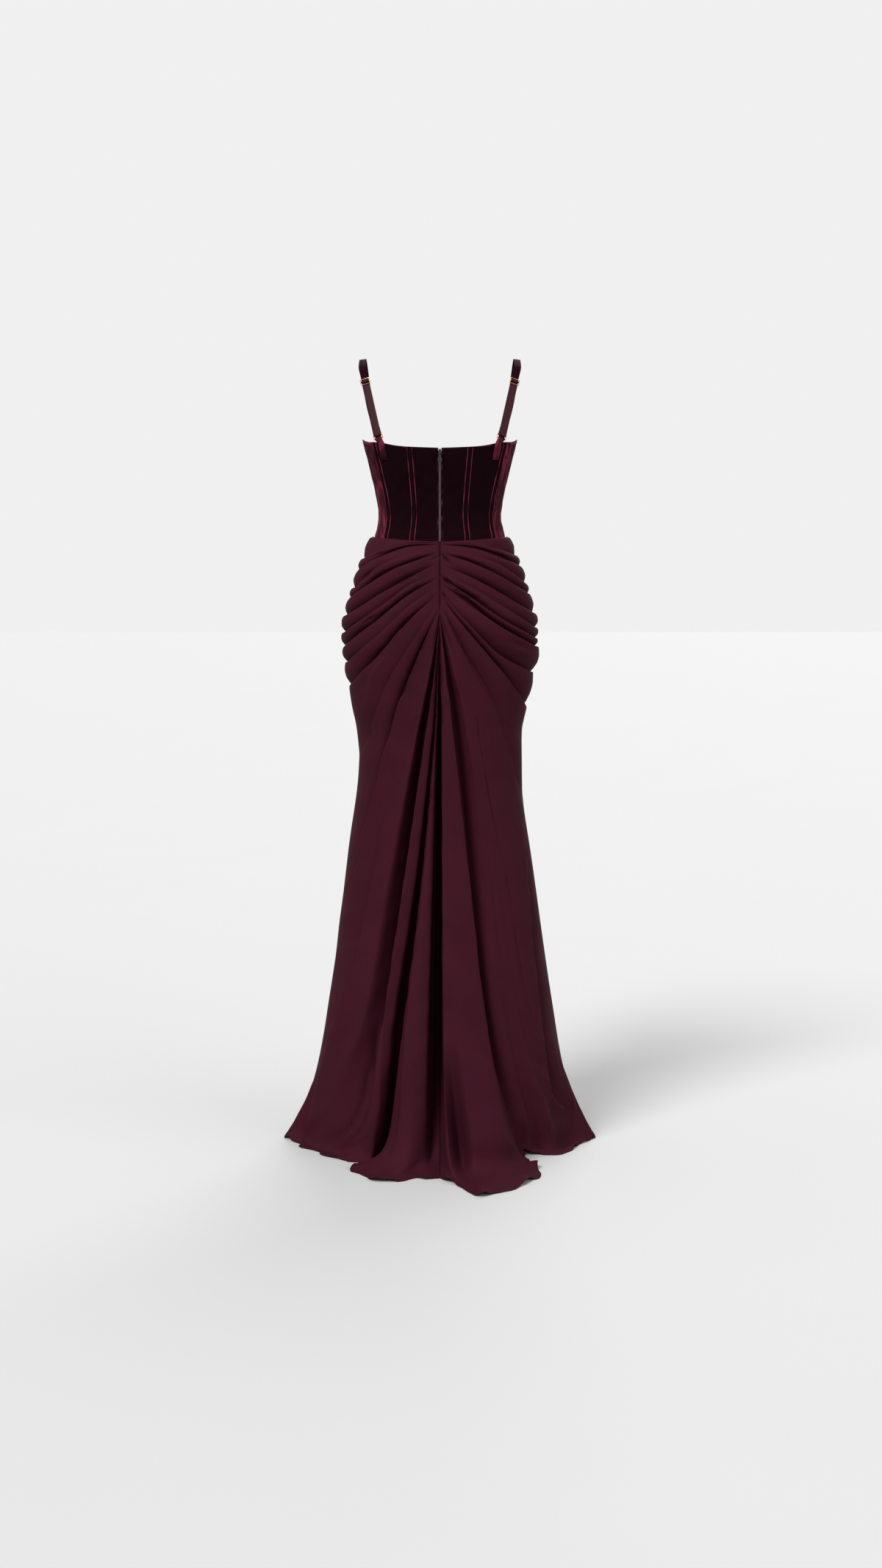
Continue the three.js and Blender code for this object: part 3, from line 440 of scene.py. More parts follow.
# Metal or plastic trim: a smooth skin, a little darker and duller where it is rubbed.
def trimMaterial(name, colourHex, roughness, metallic=1.0, rubsPerMetre=260):
    material, tree, shader, coordinates = newMaterial(name)
    wear = addNode(tree, "ShaderNodeTexNoise", {
        "Vector": coordinates, "Scale": rubsPerMetre, "Detail": 4}).outputs["Fac"]
    fresh = linear(colourHex)
    colour = addNode(tree, "ShaderNodeMix", {0: wear, 6: fresh, 7: darker(fresh, 0.8)}, data_type="RGBA")
    polish = addNode(tree, "ShaderNodeMapRange", {
        "Value": wear, "To Min": roughness - 0.06, "To Max": roughness + 0.08})
    fillInputs(tree, shader, {
        "Base Color": colour.outputs[2], "Roughness": polish.outputs["Result"], "Metallic": metallic})
    return material


chiffon, satin, zipWeave = (clothMaterial(look) for look in (chiffonLook, satinLook, tapeLook))
velvet = velvetMaterial(velvetLook)
# nylon: a dark plastic thread with a soft shine
coilNylon = trimMaterial("moulded nylon zip coil", "2c2025", 0.45, 0.0)
# enamelled zinc: a dull dark grey gleam
zipMetal = trimMaterial("dark grey enamelled zinc", "3c3838", 0.42)
# plated zinc: small warm glints, yellow on the rings and pink on the sliders
gold = trimMaterial("gold plated zinc", "b48a52", 0.36)
roseGold = trimMaterial("rose gold plated zinc", "b07e6c", 0.34)
print("materials made")


# A swag is one roll of cloth drawn from the centre-back seam to the side seam:
# seam height, near (across, height), far (across, height), side height, rise of its crest at three places,
# depth of the crease above it at the same places, and how many lines round the cloth above the crease.
leftSwags = [
    (1187, (54, 1185), (112, 1174), 1156, (1, 1, 0), (-2, -1, 4), 2),
    (1183, (54, 1178), (110, 1161), 1132, (3, 5, 0), (3, 6, 5), 2),
    (1176, (54, 1163), (112, 1142), 1099, (3, 3, 0), (-3, -2, 5), 2),
    (1169, (54, 1148), (106, 1127), 1078, (5, 6, 1), (6, 6, 5), 2),
    (1150, (54, 1121), (110, 1090), 1045, (6, 8, 2), (6, 7, 6), 2),
    (1132, (54, 1106), (115, 1062), 1012, (3, 3, 2), (-3, -1, 6), 2),
    (1121, (54, 1090), (113, 1045), 984, (7, 6, 2), (6, 9, 6), 2),
    (1108, (54, 1068), (116, 1010), 954, (3, 4, 1), (-3, -3, 4), 2),
    (1093, (54, 1043), (108, 982), 908, (7, 7, 1), (6, 8, 4), 2),
    (1080, (56, 990), (110, 895), 770, (3, 2, 0), (-2, 0, 0), 2),
    (1066, (59, 928), (105, 790), 500, (6, 4, 0), (12, 9, 0), 6),
]
rightSwags = [
    (1187, (58, 1184), (114, 1173), 1162, (1, 1, 0), (-2, 1, 4), 2),
    (1183, (58, 1176), (115, 1160), 1141, (4, 6, 1), (4, 7, 5), 2),
    (1176, (58, 1162), (116, 1142), 1108, (3, 4, 0), (-3, -2, 5), 2),
    (1168, (58, 1148), (114, 1122), 1088, (6, 6, 1), (6, 5, 5), 2),
    (1146, (58, 1120), (114, 1091), 1050, (6, 7, 2), (4, 6, 5), 2),
    (1132, (58, 1101), (116, 1066), 1022, (3, 4, 1), (-3, -2, 4), 2),
    (1121, (58, 1083), (114, 1044), 1002, (7, 5, 1), (9, 4, 4), 2),
    (1111, (58, 1068), (116, 1025), 985, (4, 9, 6), (7, 11, 7), 2),
    (1097, (46, 1041), (112, 974), 935, (4, 6, 1), (2, 5, 4), 2),
    (1088, (50, 1022), (118, 940), 868, (5, 8, 2), (5, 6, 4), 2),
    (1070, (50, 965), (120, 822), 690, (2, 1, 0), (6, 0, 0), 6),
]
# A fall is a long fold line from the gather to the hem: across and rise at four heights, then its knee
# near the floor and its end on the floor, as (across, behind, height). Rises below 0 are valleys.
fallHeights = [948, 823, 545, 262]
leftFalls = [
    ((21.5, 48.5, 112, 170), (0, 0, 0, 0), (262, 45, 55), (291, 31, 0)),
    ((19, 45, 98, 148), (1, 1, 1, 4), (226, 90, 50), (262, 78, 0)),
    ((17, 41, 87, 133), (-5, -9, -12, -10), (188, 130, 44), (222, 128, 0)),
    ((14, 35, 74, 118), (-14, -22, -29, -20), (148, 152, 40), (184, 160, 0)),
    ((9.5, 27, 66, 106), (0, 6, 12, 13), (128, 180, 46), (164, 170, 0)),
    ((6.5, 15.5, 47, 91), (-3, 0, 2, 3), (115, 165, 40), (136, 146, 0)),
    ((5.2, 12.5, 39.5, 79), (-6, -10, -24, -30), (100, 138, 36), (108, 142, 0)),
    ((4.2, 10.5, 35.5, 73), (-6, -6, -4, -6), (108, 182, 20), (184, 204, 0)),
    ((3.3, 8.4, 30.5, 63), (-6, 1, 16, 22), (84, 230, 30), (120, 290, 0)),
    ((2.6, 6.8, 23, 44), (-7, 0, 16, 25), (62, 240, 36), (88, 312, 0)),
    ((1.9, 5.2, 14.5, 23), (-8, -5, 8, 14), (30, 216, 34), (52, 262, 0)),
    ((1.1, 2.8, 7.5, 12), (-9, -12, -22, -30), (13, 190, 22), (26, 282, 0)),
    ((0, 0, 0, 0), (-10, -20, -40, -50), (0, 196, 18), (0, 270, 0)),
]
rightFalls = [
    ((35, 71, 121, 167), (0, 0, 0, 0), (250, 62, 50), (290, 34, 0)),
    ((33, 68, 116, 160), (0, 0, 0, -1), (232, 88, 44), (266, 62, 0)),
    ((31, 65, 112, 154), (0, 0, 0, 0), (216, 118, 56), (246, 112, 0)),
    ((29.5, 62, 107, 147), (0, 0, 0, -1), (200, 120, 46), (226, 124, 0)),
    ((28, 59, 101, 138), (0, 0, -1, -3), (186, 118, 46), (204, 114, 0)),
    ((25.5, 54, 92, 125), (0, 0, -1, -2), (172, 132, 56), (188, 108, 6)),
    ((22, 47, 80, 109), (-4, -6, -6, -4), (158, 136, 52), (172, 110, 14)),
    ((15.5, 34, 62, 94), (-12, -17, -16, -14), (144, 142, 40), (156, 122, 2)),
    ((13, 29, 58.5, 91), (-9, -13, -10, -8), (150, 176, 24), (186, 188, 0)),
    ((11, 25.5, 54.5, 87), (5, 10, 15, 19), (140, 212, 44), (192, 262, 0)),
    ((9, 19, 40, 62), (7, 13, 19, 27), (104, 240, 48), (142, 332, 0)),
    ((6, 11, 22, 34), (7, 12, 20, 29), (66, 250, 50), (74, 394, 0)),
    ((4.6, 7, 12, 18), (5, 9, 17, 23), (42, 206, 8), (58, 366, 0)),
    ((3.4, 4.2, 5, 6.5), (3, 8, 16, 20), (16, 250, 34), (36, 322, 0)),
    ((0, 0, 0, 0), (-10, -20, -40, -50), (0, 196, 18), (0, 270, 0)),
]
skirtSettings = {
    "columns": 132,
    "waistLine": (1189, (54, 1192), (96, 1195), 1199),
    "creaseWidth": 3.4,
    "softWidth": 13,  # that of the lowest right swag, whose crease is soft
    "creaseDeeper": 0.9,
    "creaseLeast": 1.8,
    "swagRows": 4,  # rows of mesh from one line to the next
    "rollGap": 0.6,
    "rollPower": 2.6,  # how late a roll turns down into the crease below it
    "bulge": 3.8,  # how full a roll stands at the side seam
    "bulgePower": 4,
    "fanShares": (0.1, 0.25, 0.42, 0.6, 0.8),  # lines between the lowest swag and the first fall
    "fanRows": 5,
    "fallRows": 6,
    "fallDeeper": 1.4,
    "cliff": 18,  # a step this high drops off sharply beside its crest
    "lowCliff": 14,  # and so does one this high beside a crest above highCrest
    "highCrest": 5,
    "gatherTop": 1060,
    "gatherBottom": 1044,
    "tuck": 4,  # how deep the lines start in the centre-back seam
    "leftSide": (24, 52, 130, 194, 248),
    "rightSide": (37, 74, 126, 177, 247),
    "sideKnee": 115,
    "kneePasses": 12,
    "kneeReach": 9,
    "groove": 2.6,  # the centre seam is drawn in by its gathers
    "grooveHalf": 2.0,
    # seed, wave lengths along and across the folds, height
    "smallRipples": (11, 240, 30, 0.12),
    "broadRipples": (21, 520, 90, 0.6),
    "wall": 0.9,
    "seamHalfGap": 0.15,
    "waistStand": 2.6,  # how far the skirt's top edge stands off the bodice
}
spans = len(fallHeights) + 2  # of a fall, from the seam through its heights and knee to the hem
toeSettings = {
    "power": 1.6,  # how soon a fall comes down to the floor beyond its knee
    "bag": 14,  # how far in a high knee's front folds under it
    "bagFrom": 0.25,
    "dropShare": 0.42,
    "bagHeight": 38,  # only a knee above this height bags over
    "bagEasing": 6,
}


# A swag's height is read by how far across the dress it has come.
def swagLine(swag, lift, rises, settings):
    seam, near, far, side = swag[:4]
    places = [(across, height + lift) for across, height in (near, far)]
    angle = throughCurve([0, *(float(angleAt(skirtForm, a, h)) for a, h in places), 90])
    shares = [0, *(float(a / skirtForm["half"](h)) for a, h in places), 1]
    heightAt = tableCurve(shares, [seam + lift * 0.25, places[0][1], places[1][1], side + lift * 0.8])

    def height(t):
        turn = np.radians(np.clip(angle(t), 0, 90))
        return heightAt(np.sin(turn) ** (2 / skirtForm["squareness"]))

    return [angle, height, throughCurve([-settings["tuck"], *rises])]


def linePoints(line, t, hand, bulge=0):
    angle, height, rise = (curve(t) for curve in line)
    return sectionPoint(skirtForm, hand * np.clip(angle, 0, 90), height, rise + bulge)


def blendLines(first, second, share, riseShare):
    def mixed(k, amount):
        return lambda t: lerp(first[k](t), second[k](t), amount)
    return [mixed(0, share), mixed(1, share), mixed(2, riseShare)]


# The stretch from a fall's knee to its hem: it runs out along the floor, and a high knee first bags over.
def toeLine(knee, hem, low, settings):
    plain = lerp(knee, hem, low)
    plain[:, 2:] = hem[2] + (knee[2] - hem[2]) * (1 - low) ** settings["power"]
    bagFrom = settings["bagFrom"]
    bagged = lerp(knee, hem, np.clip((low - bagFrom) / (1 - bagFrom), 0, 1))
    bagged[:, 2:] = knee[2] + (hem[2] - knee[2]) * smoothstep(low / settings["dropShare"])
    bagged[:, 1:2] += settings["bag"] * np.sin(np.clip(low * 2, 0, 1) * math.pi)
    over = knee[2] + shoulderHeight - settings["bagHeight"]
    return lerp(plain, bagged, smoothstep(over / settings["bagEasing"]))


# Each swag as its rolls, the crease above it and its own crest, from the waist down.
def swagLines(hand, swags, t, settings):
    above = swagLine(settings["waistLine"], 0, (0, 0, 0), settings)
    lines, counts = [linePoints(above, t, hand)], []
    for swag in swags:
        dips = [-v * settings["creaseDeeper"] - settings["creaseLeast"] * (v > 0) for v in swag[5]]
        width = settings["softWidth"] if swag is rightSwags[-1] else settings["creaseWidth"]
        crease = swagLine(swag, width, dips, settings)
        rolls = swag[6] + 1
        for k in range(1, rolls + 1):
            along = k / (rolls + settings["rollGap"])
            roll = blendLines(above, crease, along, along ** settings["rollPower"])
            fullness = settings["bulge"] * 2 / swag[6] * math.sin(math.pi * along)
            lines.append(linePoints(roll, t, hand, fullness * t ** settings["bulgePower"]))
        crest = swagLine(swag, 0, swag[4], settings)
        lines += [linePoints(crease, t, hand), linePoints(crest, t, hand)]
        counts += [settings["swagRows"]] * (rolls + 2)
        above = crest
    return lines, counts, above


# One half of the back as lines from the centre seam, and how many rows of mesh follow each.
def skirtLines(hand, swags, falls, side, settings):
    t = np.linspace(0, 1, settings["columns"] + 1)
    tuck = settings["tuck"]
    lines, counts, above = swagLines(hand, swags, t, settings)
    heights = [settings["gatherTop"], *fallHeights, settings["sideKnee"], 0]
    angles = [float(angleAt(skirtForm, a, h)) for a, h in zip([0, *side], heights)]
    lowest = [throughCurve(k) for k in ([*angles, 90], heights, [-tuck] + [0] * spans)]
    for share in [*settings["fanShares"], 1]:
        lines.append(linePoints(blendLines(above, lowest, share, 1 - (1 - share) ** 3), t, hand))
        counts.append(settings["fanRows"])
    sideLines = len(lines)
    lastRises = (0, 0, 0, 0)
    low = np.clip(t * spans - (spans - 1), 0, 1)[:, None]
    for i, (across, rises, knee, hem) in enumerate(falls):
        seamHeight = lerp(settings["gatherTop"], settings["gatherBottom"], (i + 1) / len(falls))
        keys = [sectionPoint(skirtForm, 0, seamHeight, -tuck)]
        for a, h, r in zip(across, fallHeights, rises):
            rise = r if r > 0 else r * settings["fallDeeper"]
            keys.append(sectionPoint(skirtForm, hand * angleAt(skirtForm, a, h), h, rise))
        keys += [np.array([hand * x, -behind, h - shoulderHeight]) for x, behind, h in (knee, hem)]
        line = np.where(low > 0, toeLine(keys[-2], keys[-1], low, toeSettings), throughCurve(keys)(t))
        step = np.abs(np.array(rises) - np.array(lastRises)).max()
        crest = max(*rises[2:], *lastRises[2:])
        if step > settings["cliff"] or (step > settings["lowCliff"] and crest > settings["highCrest"]):
            lines.append(cliffFoot(lines[-1], line, t, hand))
            counts.append(settings["swagRows"])
        lastRises = rises
        lines.append(line)
        counts.append(settings["fallRows"])
    return np.array(lines), counts, sideLines


def outward(line, hand):
    height = line[:, 2] + shoulderHeight
    angle = hand * angleAt(skirtForm, line[:, 0], height)
    return sectionPoint(skirtForm, angle, height, 1) - sectionPoint(skirtForm, angle, height, 0)


# The foot of the drop beside a crest, where one fold line stands much further out than its neighbour.
# It lies close beside the crest and low in the valley, and less so towards the hem.
def cliffFoot(first, second, t, hand):
    middle = len(t) * 2 // 3
    gap = ((second - first) * outward(second, hand))[middle].sum()
    crest, valley = (second, first) if gap > 0 else (first, second)
    ways = outward(crest, hand)
    apart = crest - valley
    out = (apart * ways).sum(1, keepdims=True) * ways
    sharp = (1 - smoothstep((t - 0.72) / 0.12))[:, None]
    return valley + lerp(0.5, 0.8, sharp) * (apart - out) + lerp(0.5, 0.3, sharp) * out


# Eases each row of a grid towards its neighbours, by its weight at each point.
def smoothRows(points, passes, weight):
    for _ in range(passes):
        middle = (points[:-2] + points[2:]) / 2
        points[1:-1] = lerp(points[1:-1], middle, weight[1:-1, :, None])
    return points


# Soft ridges laid over the drape: (across, height) points down the ridge, how far it stands out, its width
# towards the centre back, then the drop and width of the hollow on its outer side.
leftRidges = [
    ([(112, 262), (119, 164), (129, 94), (142, 58), (168, 33)], 7, 22, 6, 10),
    ([(130, 180), (137, 122), (152, 80), (188, 28)], 6, 17, 6, 9),
    ([(196, 440), (208, 330), (226, 215), (247, 105)], 2, 40, 2.5, 5),
    ([(101, 986), (133, 930), (141, 880)], 1.6, 14, 1.2, 8),
]
rightRidges = [
    ([(158, 700), (167, 545), (178, 404), (194, 262), (212, 122), (214, 62)], 6, 38, 7, 7),
    ([(206, 170), (222, 105), (243, 78), (276, 62)], 7, 11, 8, 14),
]


# Hollows pressed into the drape: (across, height), length, width, degrees down towards the side, depth.
leftHollows = [
    ((134, 1041), 15, 6, 33, 5),
    ((122, 1164), 18, 4, 22, 3),
    ((138, 1126), 14, 4, 38, 3),
    ((8, 1158), 7, 2.5, 25, 2.5),
    ((150, 915), 14, 6, 40, 2.5),
]
rightHollows = [
    ((10, 1157), 11, 3.2, 48, 7),
    ((17, 1110), 16, 3.8, 42, 8),
    ((8, 1086), 8, 2.6, 60, 5),
    ((118, 1160), 24, 4, 18, 2.5),
    ((158, 990), 22, 4, 24, 4),
    ((60, 1072), 26, 3.5, 38, 3),
]


def hollowRelief(points, hollows):
    across, height = np.abs(points[..., 0]), points[..., 2] + shoulderHeight
    total = np.zeros(across.shape)
    for (x, h), length, width, tilt, depth in hollows:
        turn = math.radians(tilt)
        along = (across - x) * math.cos(turn) - (height - h) * math.sin(turn)
        beside = (across - x) * math.sin(turn) + (height - h) * math.cos(turn)
        total -= depth * np.exp(-(along / length) ** 2 - (beside / width) ** 2)
    return total


def ridgeRelief(points, ridges):
    across, height = np.abs(points[..., 0]), points[..., 2] + shoulderHeight
    total = np.zeros(across.shape)
    for spots, stand, inner, drop, outer in ridges:
        spots = sorted(spots, key=lambda spot: spot[1])
        middle = tableCurve([s[1] for s in spots], [s[0] for s in spots])(height)
        low, high = spots[0][1], spots[-1][1]
        reach = (high - low) * 0.35  # a ridge fades out at both its ends
        shown = smoothstep((height - low) / reach + 0.3) * smoothstep((high - height) / reach + 0.2)
        beside = across - middle
        # the crest is broad towards the centre back and sharp towards the side, with the hollow beyond it
        crest = np.exp(-(beside / np.where(beside < 0, inner, 2.5)) ** 2)
        hollow = np.where(beside > 0, np.exp(-((beside - 5) / outer) ** 2) * smoothstep(beside / 4), 0)
        total += shown * (stand * crest - drop * hollow)
    return total


hemSettings = {
    "from": 0.88,  # share of a fall's length where the hem begins to wave
    "rounding": 11,
    "roundingWeight": 0.9,
    # seed, wave length along the hem, how far it goes out or up
    "wave": (51, 62, 4.5),
    "lift": (61, 70, 8.0),
    "seamFade": 30,  # the waves fade this near the centre seam
    "beadRadius": 0.8,
    "beadSides": 6,
}


# The hem's folds are rounded, and its edge waves out and lifts off the floor here and there.
def hemWaves(points, t, hand, sideRows, settings):
    near = smoothstep((t - settings["from"]) / (1 - settings["from"]))
    weight = near * np.ones(points.shape[:2]) * settings["roundingWeight"]
    weight[:sideRows] = 0
    points = smoothRows(points, settings["rounding"], weight)
    along = spread(points[:, -1:], 0)[:, 0][:, None]
    waves = []
    for seed, length, height in (settings["wave"], settings["lift"]):
        waves.append(height * ripples(along, 0 * along, seed + hand, length, 1000, 8))
    lift = np.clip(waves[1], 0, 2 * settings["lift"][2])
    outwards = unit(points[:, -1:, :2] - points[:, -12:-11, :2])
    onFloor = near * (np.arange(len(points)) >= sideRows)[:, None]
    onFloor = onFloor * smoothstep((along[-1] - along) / settings["seamFade"])
    points[..., :2] += outwards * (waves[0] * onFloor)[..., None]
    points[..., 2] += lift * onFloor
    return points


# The narrow rolled hem along the lower edge of a sheet.
def hemBead(name, edge, settings):
    tangents = unit(np.gradient(edge, axis=0))
    aside = unit(np.cross(tangents, [0, 0, 1.0]))
    up = np.cross(aside, tangents)
    turns = np.arange(settings["beadSides"]) / settings["beadSides"] * 2 * math.pi
    ring = [edge + settings["beadRadius"] * (math.cos(a) * aside + math.sin(a) * up) for a in turns]
    tube = np.stack(ring, axis=1)
    tube[..., 2] = np.maximum(tube[..., 2], -shoulderHeight)
    return closedTube(name, tube, chiffon)


# Half of the back as a grid of points, and how many of its rows end at the side seam.
def backHalf(hand, swags, falls, side, ridges, hollows, settings):
    lines, counts, sideLines = skirtLines(hand, swags, falls, side, settings)
    points, marks = refineRows(lines, counts)
    sideRows = marks[sideLines - 1] + 1
    rows, columns = points.shape[:2]
    t = np.linspace(0, 1, columns)[None, :]
    # the knee above the floor is eased so that the cloth bends there and doesn't crease
    easing = np.clip(1 - np.abs(t - (spans - 1) / spans) * settings["kneeReach"], 0, 1) * np.ones((rows, 1))
    easing[:sideRows] = 0
    points = smoothRows(points.swapaxes(0, 1), settings["kneePasses"], easing.T).swapaxes(0, 1)
    points = hemWaves(points, t, hand, sideRows, hemSettings)
    normals = gridNormals(points) * -hand
    points = points + normals * (ridgeRelief(points, ridges) + hollowRelief(points, hollows))[..., None]
    along, across = spread(points, 1), spread(points, 0)
    small, broad = (height * ripples(along, across, seed + hand, length, width) for seed, length, width, height
                    in (settings["smallRipples"], settings["broadRipples"]))
    broad[sideRows:] *= 0.6  # the falls hang straighter than the swags
    # the unevenness grows away from the seams, and leaves the hem alone
    swell = 0.35 + 1.1 * smoothstep(t * 4) * smoothstep((1 - t) * 6)
    offset = (small + broad) * swell * (1 - smoothstep((t - 0.93) * 20))
    seam = np.exp(-(np.abs(points[..., 0]) / settings["grooveHalf"]) ** 2)
    seam *= smoothstep((points[..., 2] + shoulderHeight - settings["gatherTop"]) / 12)
    points = points + normals * (offset - settings["groove"] * seam)[..., None]

    edge = settings["seamHalfGap"]
    waistAngle = hand * angleAt(skirtForm, points[0, :, 0], points[0, :, 2] + shoulderHeight)
    points[0] = bodicePoint(waistAngle, points[0, :, 2] + shoulderHeight, settings["waistStand"])
    x = np.maximum(hand * points[..., 0], edge)
    x[:, 0] = edge
    points[..., 0] = hand * x
    points[..., 1] = np.minimum(points[..., 1], -edge)
    points[:sideRows, -1, 1] = -edge
    points[..., 2] = np.maximum(points[..., 2], settings["wall"] - shoulderHeight)
    return points, sideRows


frontSettings = {
    "columns": 110,
    "sag": 30,
    "fade": 1.4,  # how soon the side folds fade towards the middle
    "wave": 13,  # folds of the lower front
    "waves": 8,
    "waveTop": 800,
    "ripple": 0.7,
}


# The front carries the side folds round and lets them fade towards its middle.
def frontSheet(leftEnd, rightEnd, settings):
    share = np.linspace(0, 1, settings["columns"] + 1)[None, :]
    leftHeight, rightHeight = leftEnd[:, 2:] + shoulderHeight, rightEnd[:, 2:] + shoulderHeight
    inwards = np.sin(share * math.pi)
    even = lerp(leftHeight, rightHeight, smoothstep(share))
    waistFront = float(waistSeam(180))
    sag = settings["sag"] * np.clip(even / 500 - 0.4, 0, 1)
    drop = np.where(even > waistFront, even - waistFront, sag)
    height = np.maximum(even - drop * inwards, skirtSettings["wall"])
    height[0] = waistSeam(90 + 90 * inwards[0])
    held = np.where(share < 0.5, -leftEnd[:, :1] - skirtForm["half"](leftHeight),
                    rightEnd[:, :1] - skirtForm["half"](rightHeight))
    rise = held * (1 - inwards) ** settings["fade"]
    low = np.clip(1 - height / settings["waveTop"], 0, 1)
    wave = settings["wave"] * low * inwards * np.cos(share * math.pi * settings["waves"])
    turn = -90 - 180 * share
    small = ripples(share * 420 + 0 * height, height, 31, 160, 60) * settings["ripple"]
    points = sectionPoint(skirtForm, turn, height, rise + wave + small * smoothstep(inwards * 3))
    points[0] = bodicePoint(turn[0], height[0], skirtSettings["waistStand"])
    points[..., 1] = np.maximum(points[..., 1], skirtSettings["seamHalfGap"])
    return points


leftPoints, leftSideRows = backHalf(
    -1, leftSwags, leftFalls, skirtSettings["leftSide"], leftRidges, leftHollows, skirtSettings)
rightPoints, rightSideRows = backHalf(
    1, rightSwags, rightFalls, skirtSettings["rightSide"], rightRidges, rightHollows, skirtSettings)
frontPoints = frontSheet(leftPoints[:leftSideRows, -1], rightPoints[:rightSideRows, -1], frontSettings)
skirtSheets = [
    # name, points, flip, cut, lower edge, what holds it
    ("skirt_back_left", leftPoints, False, (0.75, 1.3), leftPoints[leftSideRows - 1:, -1],
     "bodice_back_left"),
    ("skirt_back_right", rightPoints, True, (0.75, 1.3), rightPoints[rightSideRows - 1:, -1],
     "bodice_back_right"),
    ("skirt_front", frontPoints, True, (0.85, 1.3), frontPoints[-1],
     "bodice_center_front"),
]
for name, points, flip, flat, edge, heldBy in skirtSheets:
    piece = addPiece(name + "_cloth", gridMesh(name, points, flip), chiffon, [name])
    thicken(piece, skirtSettings["wall"])
    bead = hemBead(name + "_hem", edge, hemSettings)
print("skirt made")


# the bodice's seams, as angles round the body at its top and at the waist, and the heights of those places
seamEnds = (1365, 1189)
seamLines = {
    "centre": (0, 0),
    "inner": (18.5, 19.5),
    "outer": (54.5, 50.5),
    "side": (112, 112),
    "princess": (150, 154),
    "frontCentre": (210, 206),
}
bodiceSettings = {
    "rows": 70,
    "wall": 2.0,
    "lap": 6,  # how far the bodice goes down inside the skirt
    "inset": 0.3,
    "seamDip": 0.7,  # the cloth turns in at each seam
    "seamWidth": 2.2,
    "roll": 0.5,  # and at its top edge
    "rollHeight": 3,
    "crush": 0.45,
    "zipHalf": 2.4,
    # how light the velvet is: pile pressed flat all over, painted sheen on the sideways-facing sides, a
    # painted highlight along the top edge, pile pressed more at the seams and zip, and lighter at the waist
    "pressAndSheen": -0.12,
    "sideSheen": 0.6,
    "rimHighlightWeight": 0.75,
    "seamPress": 0.25,
    "zipPress": 0.9,
    "waistLightening": 0.25,
}
bodicePanels = [
    # name, seams, columns, whether there is one each side
    ("bodice_back", "centre", "inner", 26, True),
    ("bodice_mid_back", "inner", "outer", 40, True),
    ("bodice_side", "outer", "side", 60, True),
    ("bodice_front_side", "side", "princess", 44, True),
    ("bodice_center_front", "princess", "frontCentre", 60, False),
]


def seamAngle(name, height):
    (top, waist), (topHeight, waistHeight) = seamLines[name], seamEnds
    return lerp(waist, top, np.clip((height - waistHeight) / (topHeight - waistHeight), 0, 1))


# A panel between two seams, and how far its pile is pressed at each point, with painted sheen and painted
# highlights added in.
def panelPoints(fromSeam, toSeam, columns, settings, seed):
    atZip = fromSeam == "centre"
    share = np.linspace(0, 1, settings["rows"] + 1)[:, None]
    across = np.linspace(0, 1, columns + 1)[None, :]
    height = lerp(1190.0, 1380.0, share) * np.ones_like(across)
    # the seams' angles hang on the height and the height on the angle, so both are found by turns
    for _ in range(7):
        low, high = seamAngle(fromSeam, height), seamAngle(toSeam, height)
        perDegree = degreeWidth(low, height)
        if atZip:
            low = low + settings["zipHalf"] / perDegree
        angle = lerp(low, high, across)
        aside = np.where(angle > 180, 360 - angle, angle)
        height = lerp(waistSeam(aside) - settings["lap"], topEdge(aside), share)
    toEdge = np.minimum(across, 1 - across) * (high - low) * perDegree
    dip = settings["seamDip"] * (1 - smoothstep(toEdge / settings["seamWidth"]))
    fromTop = (1 - share) * 180
    roll = settings["roll"] * (1 - smoothstep(fromTop / settings["rollHeight"]))
    crush = ripples(height, angle * 2.2, seed, 46, 26, 20) * settings["crush"]
    crush = crush * smoothstep(toEdge / 8) * smoothstep(fromTop / 8)
    # painted sheen: the panels that turn to face sideways are made lighter, as if the pile catches the light
    # there
    sideways = smoothstep((aside - 46) / 14) * (1 - 0.9 * smoothstep((aside - 112) / 40))
    # painted highlight: a bright strip along the rolled top edge, where light would catch the pile
    rimHighlight = np.exp(-(fromTop / 2.5) ** 2) * (0.6 + 0.5 * ripples(angle * 2.2, 0 * angle, seed + 3, 30, 60))
    patchy = np.clip(0.5 + 0.5 * ripples(height, 0 * angle, seed + 7, 26, 100), 0, 1)
    if atZip:
        beside = np.exp(-(toEdge / 3.5) ** 2) * settings["zipPress"] * patchy
    else:
        beside = np.exp(-(toEdge / 3) ** 2) * settings["seamPress"]
    # lighter towards the foot of the panel at the waist
    foot = np.exp(-(share * 190 / 16) ** 2)
    pressAndSheen = (settings["pressAndSheen"] + settings["sideSheen"] * sideways + settings["rimHighlightWeight"] * rimHighlight + beside
             + settings["waistLightening"] * foot)
    return bodicePoint(angle, height, crush - settings["inset"] - dip - roll), pressAndSheen


for panel, fromSeam, toSeam, columns, paired in bodicePanels:
    for hand, side in bothSides if paired else ((1, ""),):
        seed = 40 + len(panel) + hand if paired else 77
        points, pressAndSheen = panelPoints(fromSeam, toSeam, columns, bodiceSettings, seed)
        name = f"{panel}_{side}" if paired else panel
        mesh = gridMesh(name, points * np.array([hand, 1, 1]), hand < 0)
        piece = addPiece(name + "_cloth", mesh, velvet, [name])
        setPressAndSheen(piece, pressAndSheen)
        thicken(piece, bodiceSettings["wall"])
print("bodice made")

channelSettings = {
    "width": 10.5,
    "rows": 90,
    "stand": 1.3,
    "gap": 0.1,
    "endShare": 0.997,
    "stitchAt": 0.9,  # across, as a share of half the width, where the pile is crushed by the stitching and a painted highlight runs along it
    "stitchHalf": 0.14,
    "profile": [
        # across as a share of half the width, height over the panel as a share of stand
        (-1.0, -0.5), (-0.99, 0.55), (-0.93, 0.92), (-0.84, 0.95), (-0.76, 0.45), (-0.66, 0.4), (-0.5, 0.72),
        (-0.25, 0.92), (0, 1.0), (0.25, 0.92), (0.5, 0.72), (0.66, 0.4), (0.76, 0.45), (0.84, 0.95),
        (0.93, 0.92), (0.99, 0.55), (1.0, -0.5)],
}


